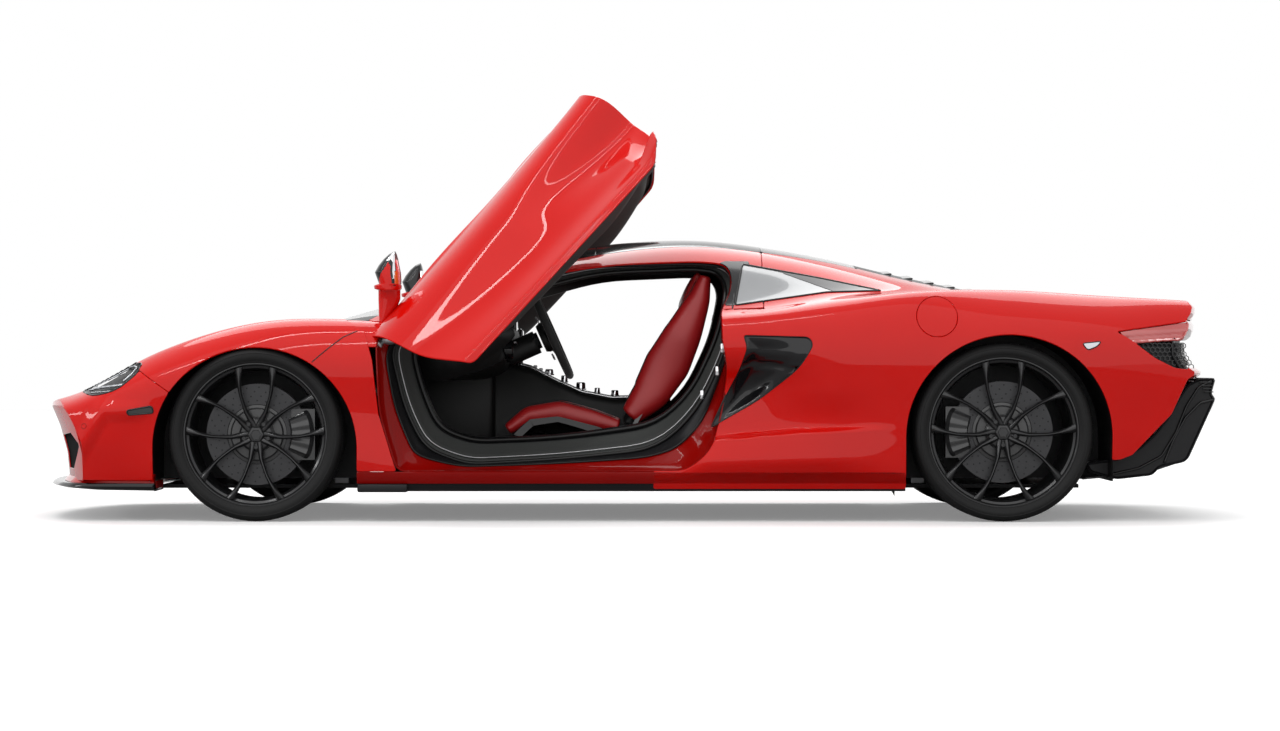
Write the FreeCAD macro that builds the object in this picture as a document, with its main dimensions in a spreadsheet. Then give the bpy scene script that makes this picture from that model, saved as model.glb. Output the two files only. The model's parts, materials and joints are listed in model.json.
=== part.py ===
import os
from math import cos, radians, sin

import FreeCAD
import Part
import Sketcher

# Mid-engined two-seat supercar with two dihedral doors, drawn with both doors open.
# X runs from the nose (-) to the tail (+), Y to the right-hand side, Z up from the ground.
# The origin is on the ground, halfway along the car. Lengths are in mm, angles in degrees.

doc = FreeCAD.newDocument("Supercar")
sheet = doc.addObject("Spreadsheet::Sheet", "Sizes")

SIZES = {
    # body
    "overall_length": 4540, "body_width": 1930, "roof_height": 1070, "panel_wall": 30, "glass_wall": 8,
    "panel_gap": 5, "nose_sweep": 150, "tail_sweep": 110, "corner_half_width": 850, "deck_setback": 77,
    "grille_wall": 12,
    # wheels
    "wheelbase": 2778, "front_overhang": 871, "front_tyre_radius": 323, "rear_tyre_radius": 332,
    "front_tyre_width": 235, "rear_tyre_width": 305, "front_track": 1610, "rear_track": 1585,
    "front_rim_radius": 268, "rear_rim_radius": 280, "barrel_wall": 12, "hub_radius": 62, "spoke_width": 22,
    "spoke_depth": 30, "front_disc_radius": 190, "rear_disc_radius": 185, "disc_thickness": 30,
    "hub_face_inset": 78, "fit_gap": 0.4, "stub_radius": 24, "upright_half_height": 105,
    "kingpin_radius": 25,
    # wheel arches
    "front_arch_radius": 378, "front_arch_drop": 53, "rear_arch_radius": 382, "rear_arch_drop": 20,
    "rear_arch_shift": 19, "steer_clearance_radius": 352, "arch_depth": 420,
    # cabin
    "tub_front": 424, "tub_rear": 1869, "tub_side_wall": 190, "tub_top_wall": 60, "tub_floor_wall": 60,
    "bulkhead_wall": 60, "door_thickness": 110, "door_skin": 22, "door_clearance": 14, "jamb_clearance": 36,
    # door hinge, measured from the front axle, the middle plane and the ground
    "hinge_setback": 429, "hinge_y": 875, "hinge_z": 662, "hinge_azimuth": 50, "door_angle": 68,
    "hinge_pin_radius": 12, "hinge_bore_gap": 0.3, "hinge_pocket_radius": 130,
    "hinge_arm_room": 48, "hinge_boss_wall": 16,
    # seats and controls
    "seat_y": 380, "seat_width": 470, "steering_radius": 175, "steering_rim": 14, "steering_tilt": 24,
    "steering_x": 1088, "steering_z": 700,
    # floor and frames
    "floor_z": 112, "floor_plate": 14, "rail_width": 70, "rail_height": 110, "rail_y": 330, "rail_z": 200,
    # lids
    "bonnet_half_width": 560, "cover_half_width": 430, "brake_half_width": 600, "flap_radius": 76,
    "flap_setback": 247, "flap_y": 903, "flap_z": 762, "flap_lean": 34.2, "flap_reach": 60,
    "lid_wall": 18, "lid_seat_gap": 0.3, "lid_flange": 28,
    "engine_length": 620, "engine_height": 480, "engine_setback": 640,
}

for row, (alias, value) in enumerate(SIZES.items(), start=1):
    sheet.set(f"A{row}", alias)
    sheet.set(f"B{row}", str(value))
    sheet.setAlias(f"B{row}", alias)
doc.recompute()


def size(alias):
    return float(sheet.get(alias))


NOSE = -size("overall_length") / 2
TAIL = size("overall_length") / 2
FRONT = NOSE + size("front_overhang")
REAR = FRONT + size("wheelbase")
ANCHORS = {"nose": NOSE, "front": FRONT, "rear": REAR, "tail": TAIL}
FRONT_HUB = size("front_tyre_radius")
REAR_HUB = size("rear_tyre_radius")

# Cross-sections of the body, nose to tail. Each offset runs from its anchor along X. A tuck is how far
# the point lies inside half the body's width, and a drop how far it lies below the roof's height.
COLUMNS = ("anchor", "offset", "floor", "sill_tuck", "sill", "waist_tuck", "waist", "shoulder_tuck", "shoulder",
           "crest_tuck", "crest", "belt_tuck", "belt", "rail_y", "rail_drop", "crown_drop")
STATIONS = [
    ("nose", -20, 112, 255, 150, 225, 250, 225, 370, 265, 415, 365, 420, 400, 648, 645),
    ("nose", 190, 112, 105, 165, 65, 300, 80, 420, 205, 474, 325, 478, 420, 586, 580),
    ("front", -380, 112, 45, 175, 25, 350, 30, 530, 165, 628, 305, 602, 440, 478, 468),
    ("front", 0, 112, 25, 180, 20, 400, 20, 610, 155, 741, 315, 692, 450, 388, 378),
    ("front", 370, 112, 35, 180, 40, 400, 40, 610, 150, 746, 285, 742, 560, 312, 272),
    ("front", 670, 112, 35, 180, 60, 350, 50, 600, 115, 715, 165, 745, 590, 230, 188),
    ("front", 1220, 112, 35, 180, 75, 330, 45, 600, 105, 720, 155, 765, 520, 85, 26),
    ("front", 1670, 112, 35, 180, 80, 330, 40, 620, 95, 740, 165, 785, 500, 42, 8),
    ("rear", -885, 112, 35, 175, 60, 340, 28, 640, 90, 762, 190, 805, 505, 66, 30),
    ("rear", -605, 112, 30, 170, 32, 360, 15, 655, 95, 800, 225, 850, 530, 115, 76),
    ("rear", -355, 112, 30, 165, 15, 380, 8, 680, 115, 845, 245, 856, 545, 170, 132),
    ("rear", 0, 112, 20, 165, 3, 400, 0, 690, 165, 859, 265, 852, 540, 222, 202),
    ("rear", 395, 120, 35, 220, 12, 400, 12, 680, 175, 837, 275, 828, 520, 246, 236),
    ("tail", -150, 200, 65, 260, 60, 400, 65, 620, 205, 815, 305, 812, 500, 260, 256),
    ("tail", 20, 240, 105, 290, 95, 400, 105, 600, 245, 800, 345, 800, 480, 271, 268),
]

# Outlines in side view: an anchor, then (distance behind the anchor, height) points.
OUTLINES = {
    "door": ("front", [(450, 680), (464, 400), (531, 190), (1599, 190), (1699, 270), (1744, 440), (1764, 570),
                       (1749, 670), (1689, 785), (730, 752)]),
    "door_box": ("front", [(640, 560), (620, 190), (1599, 190), (1690, 270), (1735, 440), (1755, 560)]),
    "aperture": ("front", [(629, 488), (605, 640), (680, 735), (1190, 905), (1278, 935), (1636, 952), (1723, 940),
                           (1757, 884), (1723, 714), (1618, 488), (1486, 374), (1127, 318), (788, 307), (675, 356)]),
    "window": ("front", [(500, 735), (714, 757), (1741, 785), (1790, 870), (1778, 964), (1654, 976), (1230, 962),
                         (560, 790)]),
    "rails": ("front", [(300, 770), (395, 712), (440, 744), (714, 768), (1741, 790), (1893, 800), (1893, 1300), (300, 1300)]),
    "nose": ("front", [(-1100, 152), (-300, 152), (-300, 470), (-430, 560), (-590, 530), (-681, 500), (-681, 800),
                       (-1100, 800)]),
    "wing": ("front", [(-300, 186), (526, 186), (459, 400), (436, 600), (405, 705), (300, 770), (300, 900),
                       (-681, 900), (-681, 500), (-590, 530), (-430, 560), (-300, 470)]),
    "sill": ("front", [(340, 100), (2450, 100), (2450, 172), (1820, 186), (340, 186)]),
    "headlamp": ("front", [(-665, 484), (-616, 533), (-492, 586), (-428, 589), (-443, 548), (-511, 488),
                           (-605, 465)]),
    "intake": ("rear", [(-965, 693), (-721, 686), (-706, 656), (-755, 571), (-903, 452), (-1084, 348),
                        (-1028, 469), (-979, 560), (-951, 645)]),
    "quarter_glass": ("rear", [(-993, 806), (-645, 856), (-420, 862), (-473, 872), (-689, 915), (-960, 965)]),
    "quarter": ("rear", [(-1167, 186), (-958, 186), (-328, 172), (371, 172), (371, 722), (741, 722), (741, 1300),
                         (-885, 1300), (-885, 800), (-1025, 790), (-965, 693), (-951, 645), (-979, 560),
                         (-1028, 469), (-1086, 343), (-1150, 256)]),
    "bumper": ("tail", [(-486, 231), (-401, 266), (-356, 305), (-307, 375), (-257, 450), (-217, 505), (-150, 530),
                        (100, 530), (100, 562), (-224, 562), (-275, 574), (-324, 600), (-424, 669), (-504, 722),
                        (-520, 722), (-520, 231)]),
    "tail_panel": ("tail", [(-224, 562), (100, 562), (100, 728), (-504, 728), (-504, 722), (-424, 669), (-324, 600),
                            (-275, 574)]),
    "diffuser": ("tail", [(-537, 150), (-440, 135), (-293, 150), (-264, 190), (-181, 208), (-120, 228), (-20, 455),
                          (0, 523), (-40, 530), (-150, 530), (-217, 505), (-257, 450), (-307, 375), (-356, 305),
                          (-401, 266), (-486, 231)]),
    "seat": ("front", [(1600, 941), (1690, 929), (1715, 833), (1640, 640), (1480, 330), (940, 300), (900, 360),
                       (985, 425), (1120, 446), (1330, 400), (1440, 520), (1520, 640)]),
}


def points(name):
    anchor, offsets = OUTLINES[name]
    return [(ANCHORS[anchor] + offset, height) for offset, height in offsets]


def prism(name, inner, outer, grow=0.0):
    # A side-view outline pushed from one distance off the middle plane to another, on the left-hand side.
    corners = [FreeCAD.Vector(x, 0, z) for x, z in points(name)]
    wire = Part.makePolygon(corners + corners[:1])
    if grow:
        wire = wire.makeOffset2D(grow)
    return at(Part.Face(wire).extrude(FreeCAD.Vector(0, outer - inner, 0)), 0, -outer, 0)


def at(shape, x, y, z):
    moved = shape.copy()
    moved.translate(FreeCAD.Vector(x, y, z))
    return moved


def mirrored(shape):
    return shape.mirror(FreeCAD.Vector(0, 0, 0), FreeCAD.Vector(0, 1, 0))


def both(shape):
    return shape.fuse(mirrored(shape))


def pair(shape):
    return Part.makeCompound([shape, mirrored(shape)])


def block(x0, x1, y0, y1, z0, z1):
    return Part.makeBox(x1 - x0, y1 - y0, z1 - z0, FreeCAD.Vector(x0, y0, z0))


def plan(corners, low=0.0, high=1400.0):
    # A plan-view outline, given on the right-hand side and mirrored, pushed from one height to another.
    right = [FreeCAD.Vector(x, y, low) for x, y in corners]
    left = [FreeCAD.Vector(x, -y, low) for x, y in reversed(corners) if y > 0]
    wire = Part.makePolygon(right + left + right[:1])
    return Part.Face(wire).extrude(FreeCAD.Vector(0, 0, high - low))


def bar(start, end, radius):
    run = FreeCAD.Vector(*end) - FreeCAD.Vector(*start)
    return Part.makeCylinder(radius, run.Length, FreeCAD.Vector(*start), run)


def section(station, side, top, bottom):
    row = dict(zip(COLUMNS, station))
    half = size("body_width") / 2
    x = ANCHORS[row["anchor"]] + row["offset"]
    roof = size("roof_height")
    side_points = [(half - row["sill_tuck"] - 25 - side, row["floor"] + bottom)]
    side_points += [(half - row[name + "_tuck"] - side, row[name]) for name in ("sill", "waist", "shoulder")]
    side_points += [(half - row[name + "_tuck"] - side, row[name] - top) for name in ("crest", "belt")]
    side_points += [(row["rail_y"] - top, roof - row["rail_drop"] - top), (0, roof - row["crown_drop"] - top)]
    right = [FreeCAD.Vector(x, y, z) for y, z in side_points]
    left = [FreeCAD.Vector(x, -point.y, point.z) for point in reversed(right[:-1])]
    return Part.makePolygon(right + left + right[:1])


def swept_end(end, sweep, inset):
    # Plan outline of the body with a bowed nose and tail, pulled in by the inset.
    corner = size("corner_half_width")
    limit = size("body_width")
    direction = 1 if end == NOSE else -1
    tip = end + direction * inset
    edge = tip + direction * sweep
    return (FreeCAD.Vector(edge, -corner, 0), FreeCAD.Vector(tip, 0, 0), FreeCAD.Vector(edge, corner, 0),
            FreeCAD.Vector(edge + direction * (limit - corner), limit, 0),
            FreeCAD.Vector(edge + direction * (limit - corner), -limit, 0))


def bowed(end, sweep, inset, reach, low, high):
    # What lies behind a bowed nose or ahead of a bowed tail, as far as the reach.
    left, tip, right, far_right, far_left = swept_end(end, sweep, inset)
    stop = reach
    corners = [right, far_right, FreeCAD.Vector(stop, far_right.y, 0), FreeCAD.Vector(stop, far_left.y, 0),
               far_left, left]
    edges = [Part.Arc(left, tip, right).toShape()]
    edges += [Part.LineSegment(a, b).toShape() for a, b in zip(corners, corners[1:])]
    return at(Part.Face(Part.Wire(edges)).extrude(FreeCAD.Vector(0, 0, high - low)), 0, 0, low)


def hull(side, top=None, bottom=None):
    top = side if top is None else top
    bottom = side if bottom is None else bottom
    loft = Part.makeLoft([section(station, side, top, bottom) for station in STATIONS], True, True)
    front = bowed(NOSE, size("nose_sweep"), side, 0, 0, 1400)
    rear = bowed(TAIL, size("tail_sweep"), side + size("deck_setback"), 0, 0, 1400)
    rake = Part.makePolygon([FreeCAD.Vector(NOSE + side + offset, -1500, z) for offset, z in
                             ((-200, 425), (0, 425), (35, 347), (60, 249), (68, 165), (68, 0), (-200, 0), (-200, 425))])
    undercut = Part.Face(rake).extrude(FreeCAD.Vector(0, 3000, 0))
    return loft.common(front.fuse(rear).removeSplitter()).cut(undercut)


OUTER = hull(0)
PANEL_INNER = hull(size("panel_wall"))
GLASS_INNER = hull(size("glass_wall"))
SHELL = OUTER.cut(PANEL_INNER)
GLASS_SHELL = OUTER.cut(GLASS_INNER)

HALF = size("body_width") / 2
WIDE = size("body_width")
GAP = size("panel_gap")
BONNET_FRONT = FRONT - 681
BONNET_REAR = FRONT + 160
SCREEN_BASE = FRONT + 215
SCREEN_TOP = FRONT + 1259
ROOF_REAR = REAR - 885
COVER_FRONT = REAR - 520
COVER_REAR = REAR + 570
BRAKE_FRONT = TAIL - 250
LAMP_TOP = 752

BONNET_PLAN = [(BONNET_FRONT, 0), (BONNET_FRONT, 0.78 * size("bonnet_half_width")),
               (BONNET_REAR, size("bonnet_half_width")), (BONNET_REAR, 0)]
COWL_PLAN = [(BONNET_REAR, 0), (BONNET_REAR, 600), (FRONT + 400, 640), (FRONT + 430, 600), (SCREEN_BASE + 90, 380),
             (SCREEN_BASE, 0)]
SCREEN_PLAN = [(SCREEN_BASE, 0), (SCREEN_BASE + 90, 380), (FRONT + 430, 600), (SCREEN_TOP, 485), (SCREEN_TOP, 0)]
ROOF_PLAN = [(SCREEN_TOP, 0), (SCREEN_TOP, 485), (ROOF_REAR, 470), (ROOF_REAR, 0)]
REAR_SCREEN_PLAN = [(ROOF_REAR, 0), (ROOF_REAR, 470), (COVER_FRONT, 450), (COVER_FRONT, 0)]
COVER_PLAN = [(COVER_FRONT, 0), (COVER_FRONT, size("cover_half_width")),
              (COVER_REAR, size("cover_half_width") + 40), (COVER_REAR, 0)]
BRAKE_PLAN = [(BRAKE_FRONT, 0), (BRAKE_FRONT, size("brake_half_width")), (TAIL + 50, size("brake_half_width")),
              (TAIL + 50, 0)]


def arch_cut(x, hub, radius, drop, inner):
    # The opening in the body's side over a wheel: a round arch with straight legs down to the ground.
    centre = hub - drop
    round_part = Part.makeCylinder(radius, WIDE, FreeCAD.Vector(x, inner, centre), FreeCAD.Vector(0, 1, 0))
    legs = block(x - radius, x + radius, inner, WIDE, -50, centre)
    return both(round_part.fuse(legs))


FRONT_ARCH = arch_cut(FRONT, FRONT_HUB, size("front_arch_radius"), size("front_arch_drop"),
                      HALF - size("arch_depth"))
REAR_ARCH = arch_cut(REAR + size("rear_arch_shift"), REAR_HUB, size("rear_arch_radius"), size("rear_arch_drop"),
                     HALF - size("arch_depth"))
STEER_BALL = both(Part.makeSphere(size("steer_clearance_radius"), FreeCAD.Vector(FRONT, size("front_track") / 2,
                                                                                FRONT_HUB)))
ARCHES = FRONT_ARCH.fuse(REAR_ARCH).fuse(STEER_BALL)

made = {}


def feature(label, shape):
    item = doc.addObject("Part::Feature", label)
    item.Label = label
    item.Shape = shape
    made[label] = item
    return item


def inset_plan(corners, gap):
    # The same plan outline pulled in by a gap all round.
    low_x = min(x for x, _ in corners)
    high_x = max(x for x, _ in corners)
    return [(x + gap if x == low_x else x - gap if x == high_x else x, y - gap if y else 0) for x, y in corners]


LID_SHELL = OUTER.cut(hull(size("lid_wall")))
LID_SHELL_SEAT = OUTER.cut(hull(size("lid_wall") + size("lid_seat_gap")))


def lid_recess(corners, low):
    # What a lid takes out of its surround: its own depth all over, and a hole inside the flange it rests on.
    hole = plan(inset_plan(corners, GAP + size("lid_flange")), low)
    return LID_SHELL_SEAT.common(plan(corners, low)).fuse(hole)


def side_zone(name, inner=0.0, grow=0.0):
    return both(prism(name, inner, WIDE, grow))


def hinge_placement(sign, angle):
    # Turns a door about its slanted axis: sign -1 is the left-hand door and +1 the right-hand one.
    azimuth = radians(size("hinge_azimuth"))
    axis = FreeCAD.Vector(sign * cos(azimuth), -sin(azimuth), 0)
    pivot = FreeCAD.Vector(FRONT + size("hinge_setback"), sign * size("hinge_y"), size("hinge_z"))
    turn = FreeCAD.Rotation(axis, angle)
    return FreeCAD.Placement(pivot - turn.multVec(pivot), turn)


def door_panel(grow=0.0, clearance=0.0):
    # The left-hand door, closed: a thin skin all over and a deep box below the waist.
    skin = size("door_skin") + clearance
    depth = size("door_thickness") + clearance
    panel = OUTER.cut(hull(skin, skin, 0)).common(prism("door", 300, WIDE, grow))
    return panel.fuse(OUTER.cut(hull(depth, depth, 0)).common(prism("door_box", 300, WIDE, grow)))


def make_nose():
    lamps = side_zone("headlamp", 600)
    lid = lid_recess(BONNET_PLAN, 350)
    centre_intake = block(NOSE - 100, NOSE + 400, -430, 430, 195, 300)
    side_intake = both(block(NOSE - 100, NOSE + 300, 520, 800, 185, 335))
    skin = SHELL.common(side_zone("nose")).cut(lid).cut(lamps).cut(centre_intake).cut(side_intake).cut(ARCHES)
    feature("nose", skin)
    feature("headlamps", SHELL.common(lamps))
    backing = PANEL_INNER.cut(hull(size("panel_wall") + size("grille_wall")))
    slats = [backing.common(block(NOSE - 100, NOSE + 350, y0, y1, z0, z1))
             for y0, y1, z0, z1 in ((-450, 450, 180, 315), (505, 815, 170, 350), (-815, -505, 170, 350))]
    feature("intake_grilles", Part.makeCompound(slats))


def make_splitter():
    low = size("floor_z")
    plate = bowed(NOSE, size("nose_sweep"), 0, FRONT - 400, low, low + 40)
    plate = plate.common(block(NOSE - 10, FRONT - 400, -870, 870, 0, 400))
    feature("splitter", plate.cut(ARCHES))


def make_wings():
    skin = SHELL.common(side_zone("wing")).cut(lid_recess(BONNET_PLAN, 350)).cut(plan(COWL_PLAN, 350))
    skin = skin.cut(plan(SCREEN_PLAN, 350)).cut(side_zone("headlamp", 600)).cut(ARCHES)
    feature("front_wings", skin)
    feature("cowl", SHELL.common(plan(COWL_PLAN, 500)))


def make_roof():
    feature("windscreen", GLASS_SHELL.common(plan(SCREEN_PLAN, 600)))
    feature("roof_panel", SHELL.common(plan(ROOF_PLAN, 800)))
    feature("rear_screen", GLASS_SHELL.common(plan(REAR_SCREEN_PLAN, 800)))
    rails = SHELL.common(side_zone("rails")).cut(side_zone("window", 100)).cut(side_zone("quarter_glass", 480))
    for outline in (SCREEN_PLAN, ROOF_PLAN, COWL_PLAN):
        rails = rails.cut(plan(outline, 300))
    rails = rails.common(block(FRONT + 300, ROOF_REAR, -WIDE, WIDE, 600, 1400)).cut(side_zone("quarter"))
    feature("roof_rails", rails)


def make_quarters():
    skin = SHELL.common(side_zone("quarter")).cut(lid_recess(COVER_PLAN, 300)).cut(plan(REAR_SCREEN_PLAN, 300))
    skin = skin.cut(side_zone("intake", 300)).cut(side_zone("quarter_glass", 480)).cut(ARCHES)
    for zone in ("bumper", "tail_panel", "diffuser"):
        skin = skin.cut(side_zone(zone))
    flap = LID_SHELL_SEAT.common(flap_core(size("flap_radius") + GAP))
    skin = skin.cut(flap).cut(side_zone("door", 300, GAP)).cut(block(TAIL - 150, TAIL, -WIDE, WIDE, 0, 1400))
    feature("rear_quarters", skin.cut(lid_recess(BRAKE_PLAN, LAMP_TOP)))
    feature("quarter_glass", GLASS_SHELL.common(side_zone("quarter_glass", 480)))
    intake = OUTER.cut(PANEL_INNER).common(side_zone("intake", 300))
    feature("intake_blades", intake.cut(side_zone("door", 300, GAP)))


def flap_core(radius):
    # the flap leans with the side of the car, so its cutter runs square to the panel there
    lean = radians(size("flap_lean"))
    outward = FreeCAD.Vector(0, -cos(lean), sin(lean))
    centre = FreeCAD.Vector(REAR - size("flap_setback"), -size("flap_y"), size("flap_z"))
    reach = size("flap_reach")
    return Part.makeCylinder(radius, 2 * reach, centre + outward * reach, -outward)


def make_sills():
    skin = SHELL.common(side_zone("sill", 860)).cut(ARCHES)
    feature("sills", skin.cut(side_zone("door", 300, GAP)))


def make_tail():
    bumper = SHELL.common(side_zone("bumper")).common(block(REAR + 300, TAIL + 50, -WIDE, WIDE, 0, 1400))
    bumper = bumper.cut(ARCHES).cut(side_zone("diffuser"))
    feature("rear_bumper", bumper)
    grille = SHELL.common(side_zone("tail_panel")).common(block(REAR + 371, TAIL + 50, -WIDE, WIDE, 0, 1400))
    feature("tail_grille", grille.cut(ARCHES))
    lamp_zone = block(TAIL - 400, TAIL + 50, -WIDE, WIDE, 728, LAMP_TOP)
    feature("tail_lamps", SHELL.common(lamp_zone).common(block(TAIL - 150, TAIL + 50, -WIDE, WIDE, 0, 1400)))
    top = SHELL.common(block(TAIL - 150, TAIL + 50, -WIDE, WIDE, LAMP_TOP, 1400)).cut(lid_recess(BRAKE_PLAN, LAMP_TOP))
    feature("tail_deck", top)
    outline = both(prism("diffuser", 0, 720))
    under = outline.common(bowed(TAIL, size("tail_sweep"), 0, 0, 0, 700)).cut(ARCHES)
    for index in range(5):
        y = -560 + index * 280
        under = under.cut(block(TAIL - 480, TAIL - 60, y - 105, y + 105, 100, 200 + 40))
    feature("diffuser", under)


HINGE_PIN_START = 30
HINGE_PIN_END = 130


def hinge_rod(radius, start, end):
    # A cylinder along the left-hand door's hinge axis, between two distances from the pivot.
    azimuth = radians(size("hinge_azimuth"))
    axis = FreeCAD.Vector(cos(azimuth), sin(azimuth), 0)
    pivot = FreeCAD.Vector(FRONT + size("hinge_setback"), -size("hinge_y"), size("hinge_z"))
    return Part.makeCylinder(radius, end - start, pivot + axis * start, axis)


def make_tub():
    x0 = FRONT + size("tub_front")
    x1 = FRONT + size("tub_rear")
    wall = size("bulkhead_wall")
    cavity = hull(size("tub_side_wall"), size("tub_top_wall"), size("tub_floor_wall"))
    cell = PANEL_INNER.common(block(x0, x1, -WIDE, WIDE, size("floor_z") + 30, 1400))
    cell = cell.cut(cavity.common(block(x0 + wall, x1 - wall, -WIDE, WIDE, 0, 1400)))
    pocket_depth = size("door_thickness") + size("door_clearance")
    pocket = side_zone("door", 300, size("jamb_clearance")).cut(hull(pocket_depth, pocket_depth, 0))
    cell = cell.cut(pocket).cut(side_zone("aperture", 150)).cut(side_zone("window", 300))
    screen = plan([(FRONT + 300, 0), (FRONT + 300, 480), (FRONT + 480, 545), (SCREEN_TOP - 60, 425),
                   (SCREEN_TOP - 60, 0)], 760)
    rear_window = block(x1 - wall - 50, x1 + 50, -380, 380, 700, 940)
    cell = cell.cut(screen).cut(rear_window).cut(ARCHES)
    bracket_start = HINGE_PIN_START + size("hinge_arm_room")
    pocket = hinge_rod(size("hinge_pocket_radius"), -150, bracket_start)
    bracket = hinge_rod(size("hinge_pin_radius") + size("hinge_boss_wall"), bracket_start, HINGE_PIN_END + 40)
    foot = bracket.BoundBox.Center
    bracket = bracket.fuse(block(foot.x - 20, foot.x + 40, foot.y, foot.y + 60, 480, size("hinge_z")))
    bore = hinge_rod(size("hinge_pin_radius") + size("hinge_bore_gap"), 0, HINGE_PIN_END + size("hinge_bore_gap"))
    feature("tub", cell.cut(both(pocket)).fuse(both(bracket)).cut(both(bore)))


def make_frames():
    y, z, width, height = (size(name) for name in ("rail_y", "rail_z", "rail_width", "rail_height"))
    low = size("floor_z") + size("floor_plate")
    front_rail = block(NOSE + 260, FRONT + size("tub_front"), y - width / 2, y + width / 2, z, z + height)
    beam = block(NOSE + 240, NOSE + 300, -560, 560, z + height / 2, z + height / 2 + 60)
    posts = block(FRONT - 300, FRONT - 250, y - 20, y + 20, low, z).fuse(
        block(FRONT + 250, FRONT + 300, y - 20, y + 20, low, z))
    tower = block(FRONT - 60, FRONT + 60, y - 20, y + 20, z + height, 470)
    feature("front_frame", both(front_rail.fuse(posts).fuse(tower)).fuse(beam).cut(STEER_BALL))
    rear_rail = block(FRONT + size("tub_rear"), TAIL - 540, y - width / 2, y + width / 2, z, z + height)
    cross = block(TAIL - 600, TAIL - 540, -600, 600, z + height / 2, z + height / 2 + 60)
    rear_posts = block(REAR - 300, REAR - 250, y - 20, y + 20, low, z)
    rear_tower = block(REAR - 60, REAR + 60, y - 20, y + 20, z + height, 560)
    feature("rear_frame", both(rear_rail.fuse(rear_posts).fuse(rear_tower)).fuse(cross))


def make_floor():
    low = size("floor_z")
    outline = [(FRONT - 400, 0), (FRONT - 400, 520), (FRONT + 410, 520), (FRONT + 430, 860), (REAR - 400, 860),
               (REAR - 400, 500), (REAR + 330, 500), (REAR + 330, 0)]
    feature("underfloor", plan(outline, low, low + size("floor_plate")))


STEERING_CENTRE = FreeCAD.Vector(FRONT + size("steering_x"), -size("seat_y"), size("steering_z"))
STEERING_AXIS = FreeCAD.Vector(cos(radians(size("steering_tilt"))), 0, sin(radians(size("steering_tilt"))))
COLUMN_LENGTH = 150


def make_seats():
    y = size("seat_y")
    half = size("seat_width") / 2
    floor = size("floor_z") + size("tub_floor_wall")
    seat = prism("seat", y - half, y + half)
    for offset in (-half + 60, half - 90):
        seat = seat.fuse(block(FRONT + 980, FRONT + 1420, -y + offset, -y + offset + 30, floor, 345))
    feature("seats", pair(seat))
    console = block(FRONT + 880, FRONT + 1560, -105, 105, size("floor_z") + size("tub_floor_wall"), 500)
    console = console.fuse(block(FRONT + 850, FRONT + 1250, -105, 105, 440, 600))
    feature("console", console)
    dash = block(FRONT + 620, FRONT + 900, -540, 540, 600, 735).common(PANEL_INNER)
    dash = dash.fuse(block(FRONT + 485, FRONT + 700, -520, 520, 640, 700))
    housing_end = STEERING_CENTRE - STEERING_AXIS * (COLUMN_LENGTH + 0.3)
    dash = dash.fuse(Part.makeCylinder(32, 140, housing_end, STEERING_AXIS * -1))
    feature("dashboard", dash)


def make_engine():
    block_item = doc.addObject("Part::Box", "engine_block")
    block_item.Label = "engine_block"
    block_item.setExpression("Length", "Sizes.engine_length")
    block_item.setExpression("Width", "2 * Sizes.rail_y - Sizes.rail_width")
    block_item.setExpression("Height", "Sizes.engine_height")
    block_item.setExpression("Placement.Base.x", "-Sizes.overall_length / 2 + Sizes.front_overhang + Sizes.wheelbase"
                             " - Sizes.engine_setback")
    block_item.setExpression("Placement.Base.y", "-Sizes.rail_y + Sizes.rail_width / 2")
    block_item.setExpression("Placement.Base.z", "Sizes.rail_z")
    made["engine_block"] = block_item


def make_doors():
    left = door_panel()
    pin = hinge_rod(size("hinge_pin_radius"), HINGE_PIN_START, HINGE_PIN_END)
    arm = hinge_rod(size("hinge_pin_radius"), HINGE_PIN_START, HINGE_PIN_START + 20).BoundBox.Center
    left = left.fuse(pin).fuse(bar((arm.x, arm.y, arm.z), (FRONT + 500, -905, 520), 9).common(OUTER))
    head = block(FRONT + 665, FRONT + 735, -1050, -865, 785, 890)
    stalk = bar((FRONT + 640, -835, 700), (FRONT + 690, -900, 830), 14)
    mirror_left = head.fuse(stalk).cut(OUTER)
    for name, sign, door, glass in (("left", -1, left, mirror_left), ("right", 1, mirrored(left),
                                                                       mirrored(mirror_left))):
        placement = hinge_placement(sign, size("door_angle"))
        feature(f"door_{name}", door).Placement = placement
        feature(f"mirror_{name}", glass).Placement = placement


def make_lids():
    for label, corners, low in (("bonnet", BONNET_PLAN, 350), ("engine_cover", COVER_PLAN, 350),
                                ("air_brake", BRAKE_PLAN, LAMP_TOP + GAP)):
        feature(label, LID_SHELL.common(plan(inset_plan(corners, GAP), low)))
    feature("fuel_flap", LID_SHELL.common(flap_core(size("flap_radius"))))


def evaluate(expression):
    return float(sheet.evalExpression(expression.replace("Sizes.", "")))


def profile(body, name, plane, corners):
    # A closed sketch whose every corner is dimensioned from the origin by a pair of expressions.
    sketch = body.newObject("Sketcher::SketchObject", name)
    origin_plane = next(item for item in body.Origin.OriginFeatures if item.Role == plane)
    sketch.AttachmentSupport = [(origin_plane, "")]
    sketch.MapMode = "FlatFace"
    spots = [FreeCAD.Vector(evaluate(across), evaluate(along), 0) for across, along in corners]
    for start, end in zip(spots, spots[1:] + spots[:1]):
        sketch.addGeometry(Part.LineSegment(start, end))
    count = len(spots)
    for index in range(count):
        sketch.addConstraint(Sketcher.Constraint("Coincident", index, 2, (index + 1) % count, 1))
    for index, (across, along) in enumerate(corners):
        for kind, expression, value in (("DistanceX", across, spots[index].x), ("DistanceY", along, spots[index].y)):
            number = sketch.addConstraint(Sketcher.Constraint(kind, -1, 1, index, 1, value))
            sketch.setExpression(f"Constraints[{number}]", expression)
    return sketch


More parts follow.
